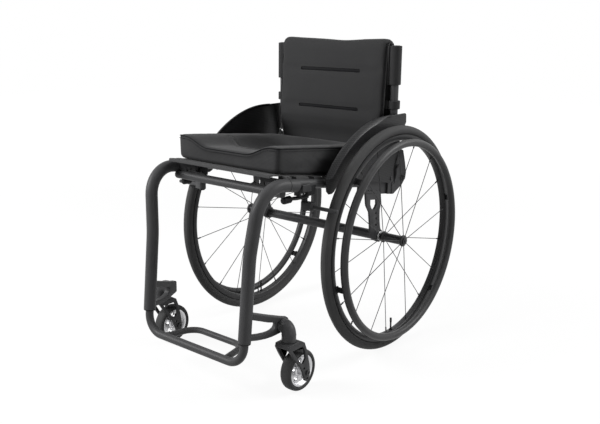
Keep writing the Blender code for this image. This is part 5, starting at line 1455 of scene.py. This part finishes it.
def makeCoverSeamShade(shape):
    # near-black cords down the pad's sides: painted shade of its side seams
    parts = []
    for side in (-1, 1):
        x = side * (shape["halfWidth"] - 0.0003)
        crest = coverCrest(shape, shape["halfWidth"] * 0.985)
        heights = (0.560, 0.590, 0.618, 0.661, 0.7245, 0.770)
        line = [place(x, coverFront(shape, z) + 0.0062, z) for z in heights]
        line += [
            place(x, coverFront(shape, 0.787) + 0.0075, crest - 0.013), place(x, 0.0425, crest - 0.0070),
            place(x, 0.0480, crest - 0.0050), place(x, 0.0600, crest - 0.0050),
            place(x, 0.0680, crest - 0.0085), place(x, 0.0720, crest - 0.0160), place(x, 0.0710, 0.765)
        ]
        parts.append(sweepTube("seamShade", line, 0.0012, 10))
    return joinPieces(parts, "coverSeamShade")


def makeCoverRim(shape):
    # the bound edge of the pad, given the lighter sling fabric as a painted highlight behind the painted
    # seam shade
    parts = []
    for side in (-1, 1):
        x = side * (shape["halfWidth"] + 0.0006)
        line = [place(x, coverFront(shape, z) + shape["rimDepth"], z)
                for z in (0.540, 0.560, 0.590, 0.618, 0.661, 0.7245, 0.765)]
        line += [place(x, 0.0420, 0.782), place(x, 0.0460, 0.7885), place(x, 0.0520, 0.7905),
                 place(x, 0.0610, 0.7885), place(x, 0.0665, 0.7820), place(x, 0.0675, 0.765)]
        parts.append(sweepTube("rim", line, 0.0021, 12))
    return joinPieces(parts, "coverRim")


def makeCoverTabs():
    # the cap's ends, over the post tops
    tabs = []
    for side in (-1, 1):
        low, high = sorted((side * 0.1675, side * 0.1795))
        tabs.append(roundedBlock("tab", place(low, 0.0480, 0.7868), place(high, 0.0620, 0.7922), 0.0022, 4))
    return joinPieces(tabs, "coverTabs")


cover = fit(makeCover(coverShape), "back", "coverFabric", "back_cover")
fit(makeCoverSlitShade(coverShape), "back", "stitchThread", slot="cover_fabric")
fit(makeCoverSeamShade(coverShape), "back", "stitchThread", slot="cover_fabric")
fit(makeCoverRim(coverShape), "back", "slingFabric", slot="cover_fabric")
fit(makeCoverTabs(), "back", "coverFabric")
print("back cover ready")

wrapShape = {"upper": (0.6865, 0.785), "lower": (0.6245, 0.6460), "radius": 0.0162, "inner": 0.0112,
             "frontY": 0.0540, "rearY": 0.0570, "lowZ": 0.600, "topZ": 0.785, "panelHalf": 0.1780}


def makeWraps(shape):
    parts = []
    for low, high in (shape["upper"], shape["lower"]):
        for side in (-1, 1):
            height = high - low
            inner, outer = shape["inner"], shape["radius"]
            profile = [(0.0, inner), (0.0, outer - 0.0010), (0.0010, outer), (height - 0.0010, outer),
                       (height, outer - 0.0010), (height, inner)]
            parts.append(lathe("wrap", profile, place(side * postShape["x"], postShape["y"], low), "Z", 40))
            lowX, highX = sorted((side * 0.1660, side * 0.1800))
            parts.append(roundedBlock("tongue", place(lowX, shape["frontY"] - 0.0145, low + 0.0005),
                                      place(highX, shape["frontY"] - 0.0115, high - 0.0005), 0.0010))
    return joinPieces(parts, "slingWraps")


def makeBackPanel(shape):
    # one sheet from post to post, behind the cover
    panel = roundedBlock("backSling", place(-shape["panelHalf"], shape["frontY"], shape["lowZ"]),
                         place(shape["panelHalf"], shape["rearY"], shape["topZ"]), 0.0008)
    return settleMesh(panel, 40)


backSling = fit(makeBackPanel(wrapShape), "back", "coverFabric", "back_sling")
slingWraps = fit(makeWraps(wrapShape), "back", "coverFabric")

slingShape = {
    "halfWidth": 0.1668, "frontY": -0.4001, "rearY": 0.0120, "thickness": 0.0028, "flapDrop": 0.0078,
    "strapInner": 0.157, "strapOuter": 0.1860,
    "straps": ((-0.3620, -0.348), (-0.332, -0.287), (-0.267, -0.234), (-0.203, -0.160), (-0.120, -0.085))
}


def makeSling(shape):
    front, rear, thickness = shape["frontY"], shape["rearY"], shape["thickness"]
    between = (-0.330, -0.240, -0.150, -0.070)
    top = slingTop(front)
    flapEnd = top - shape["flapDrop"]
    section = [(y, slingTop(y)) for y in (front + 0.002, *between, rear - 0.001)]
    section += [(rear, slingTop(rear) - 0.0008), (rear, slingTop(rear) - thickness + 0.0008),
                (rear - 0.001, slingTop(rear) - thickness)]
    section += [(y, slingTop(y) - thickness) for y in reversed(between)]
    section += [
        (front + 0.004, top - thickness - 0.0006), (front, flapEnd), (front - 0.0022, flapEnd + 0.0004),
        (front - 0.0026, top - 0.0022), (front - 0.0012, top - 0.0006)
    ]
    rings = []
    for step in range(37):
        x = -shape["halfWidth"] + 2 * shape["halfWidth"] * step / 36
        rings.append([place(x, y, z) for y, z in section])
    return stackRings("seatSling", rings, 50)


def makeStraps(shape):
    parts = []
    for first, last in shape["straps"]:
        for side in (-1, 1):
            outline = [(first, slingTop(first) - 0.0012), (last, slingTop(last) - 0.0012),
                       (last, railZ(last) + 0.004), (first, railZ(first) + 0.004)]
            low, high = sorted((side * shape["strapInner"], side * shape["strapOuter"]))
            parts.append(cutPlate("strap", outline, "X", low, high, 0.0010, 3))
    return joinPieces(parts, "slingStraps")


seatSling = fit(makeSling(slingShape), "frame", "slingFabric", "seat_sling", slot="seat_fabric")
slingStraps = fit(makeStraps(slingShape), "frame", "slingFabric", slot="seat_fabric")
print("slings ready")

# Side guards

guardShape = {"innerX": 0.2060, "thickness": 0.0022, "radius": 0.3195, "rimX": 0.2210, "rise": 0.3180,
              "roll": 0.0040, "fall": 0.0095, "first": 143, "last": 87,
              "bosses": ((-0.127, 0.4597, 0.0052), (0.0285, 0.4470, 0.0056))}


def makeGuardPanel(shape):
    rear = axleZ + shape["rise"]
    body = shape["radius"] - shape["roll"]
    low = [(-0.2085, 0.1650), (-0.2180, 0.1555), (-0.2270, 0.1515), (-0.2390, 0.1520), (-0.2475, 0.1600)]
    outline = [(y, axleZ + rise) for y, rise in low]
    outline += arcPoints(body, shape["first"], 100, 30, (0, axleZ))
    outline += [
        (-0.0200, rear - 0.0010), (0.0820, rear), (0.0868, rear - 0.0014), (0.0894, rear - 0.0050),
        (0.0905, rear - 0.0243), (0.0700, rear - 0.0530), (0.0470, rear - 0.1030), (0.0370, 0.4700),
        (0.0350, 0.4480), (0.0290, 0.4400), (0.0213, 0.4350), (-0.0143, 0.4435), (-0.0599, 0.4500),
        (-0.0952, 0.4570), (-0.1500, 0.4590), (-0.2000, 0.4480),
    ]
    return cutPlate(
        "sideGuard", outline, "X", shape["innerX"], shape["innerX"] + shape["thickness"], 0.0007, 2
    )


def makeGuardRoll(shape):
    # the lip that falls away over the tyre, narrower towards the back
    rings = []
    stations = 56
    for station in range(stations + 1):
        degrees = shape["first"] + (shape["last"] - shape["first"]) * station / stations
        angle = math.radians(degrees)
        fade = smoothShare((degrees - shape["last"]) / 16) * smoothShare(
            (shape["first"] + 1.5 - degrees) / 4
        )
        reach = 0.0034 + (shape["rimX"] - shape["innerX"] - 0.0034) * fade
        top = shape["radius"] - 0.0010 * (1 - fade)
        crest = [(0.0, top - 0.0064), (0.0, top - 0.0030), (0.0003, top - 0.0015), (0.0011, top - 0.0004),
                 (0.0024, top)]
        for step in range(1, 9):
            along = step / 8
            crest.append((0.0024 + (reach - 0.0024) * along, top - shape["fall"] * fade * along ** 1.5))
        under = [(out, radius - shape["thickness"]) for out, radius in crest[5:]]
        under += [
            (shape["thickness"] + 0.0008, top - shape["thickness"]), (shape["thickness"], top - 0.0045),
            (shape["thickness"], top - 0.0064)
        ]
        edge = [(crest[-1][0] + 0.0003, crest[-1][1] - shape["thickness"] / 2)]
        section = crest + edge + list(reversed(under[:-3])) + under[-3:]
        rings.append(
            [
                place(
                    shape["innerX"] + out, radius * math.cos(angle), axleZ + radius * math.sin(angle)
                ) for out, radius in section
            ]
        )
    return stackRings("guardRoll", rings, 45)


def makeGuardBosses(shape):
    parts = []
    for y, z, radius in shape["bosses"]:
        at = place(shape["innerX"] + shape["thickness"], y, z)
        parts.append(
            rodBetween(
                "boss", at - Vector((0.0006, 0, 0)), at + Vector((0.0018, 0, 0)), radius, 24, 0.0006
            )
        )
    return joinPieces(parts, "guardBosses")


fitPair(makeGuardPanel(guardShape), "frame", "carbonPanel", "side_guard", slot="black_plastic")
fitPair(makeGuardRoll(guardShape), "frame", "carbonPanel", slot="black_plastic")
fitPair(makeGuardBosses(guardShape), "frame", "rimPaint")
print("side guards ready")
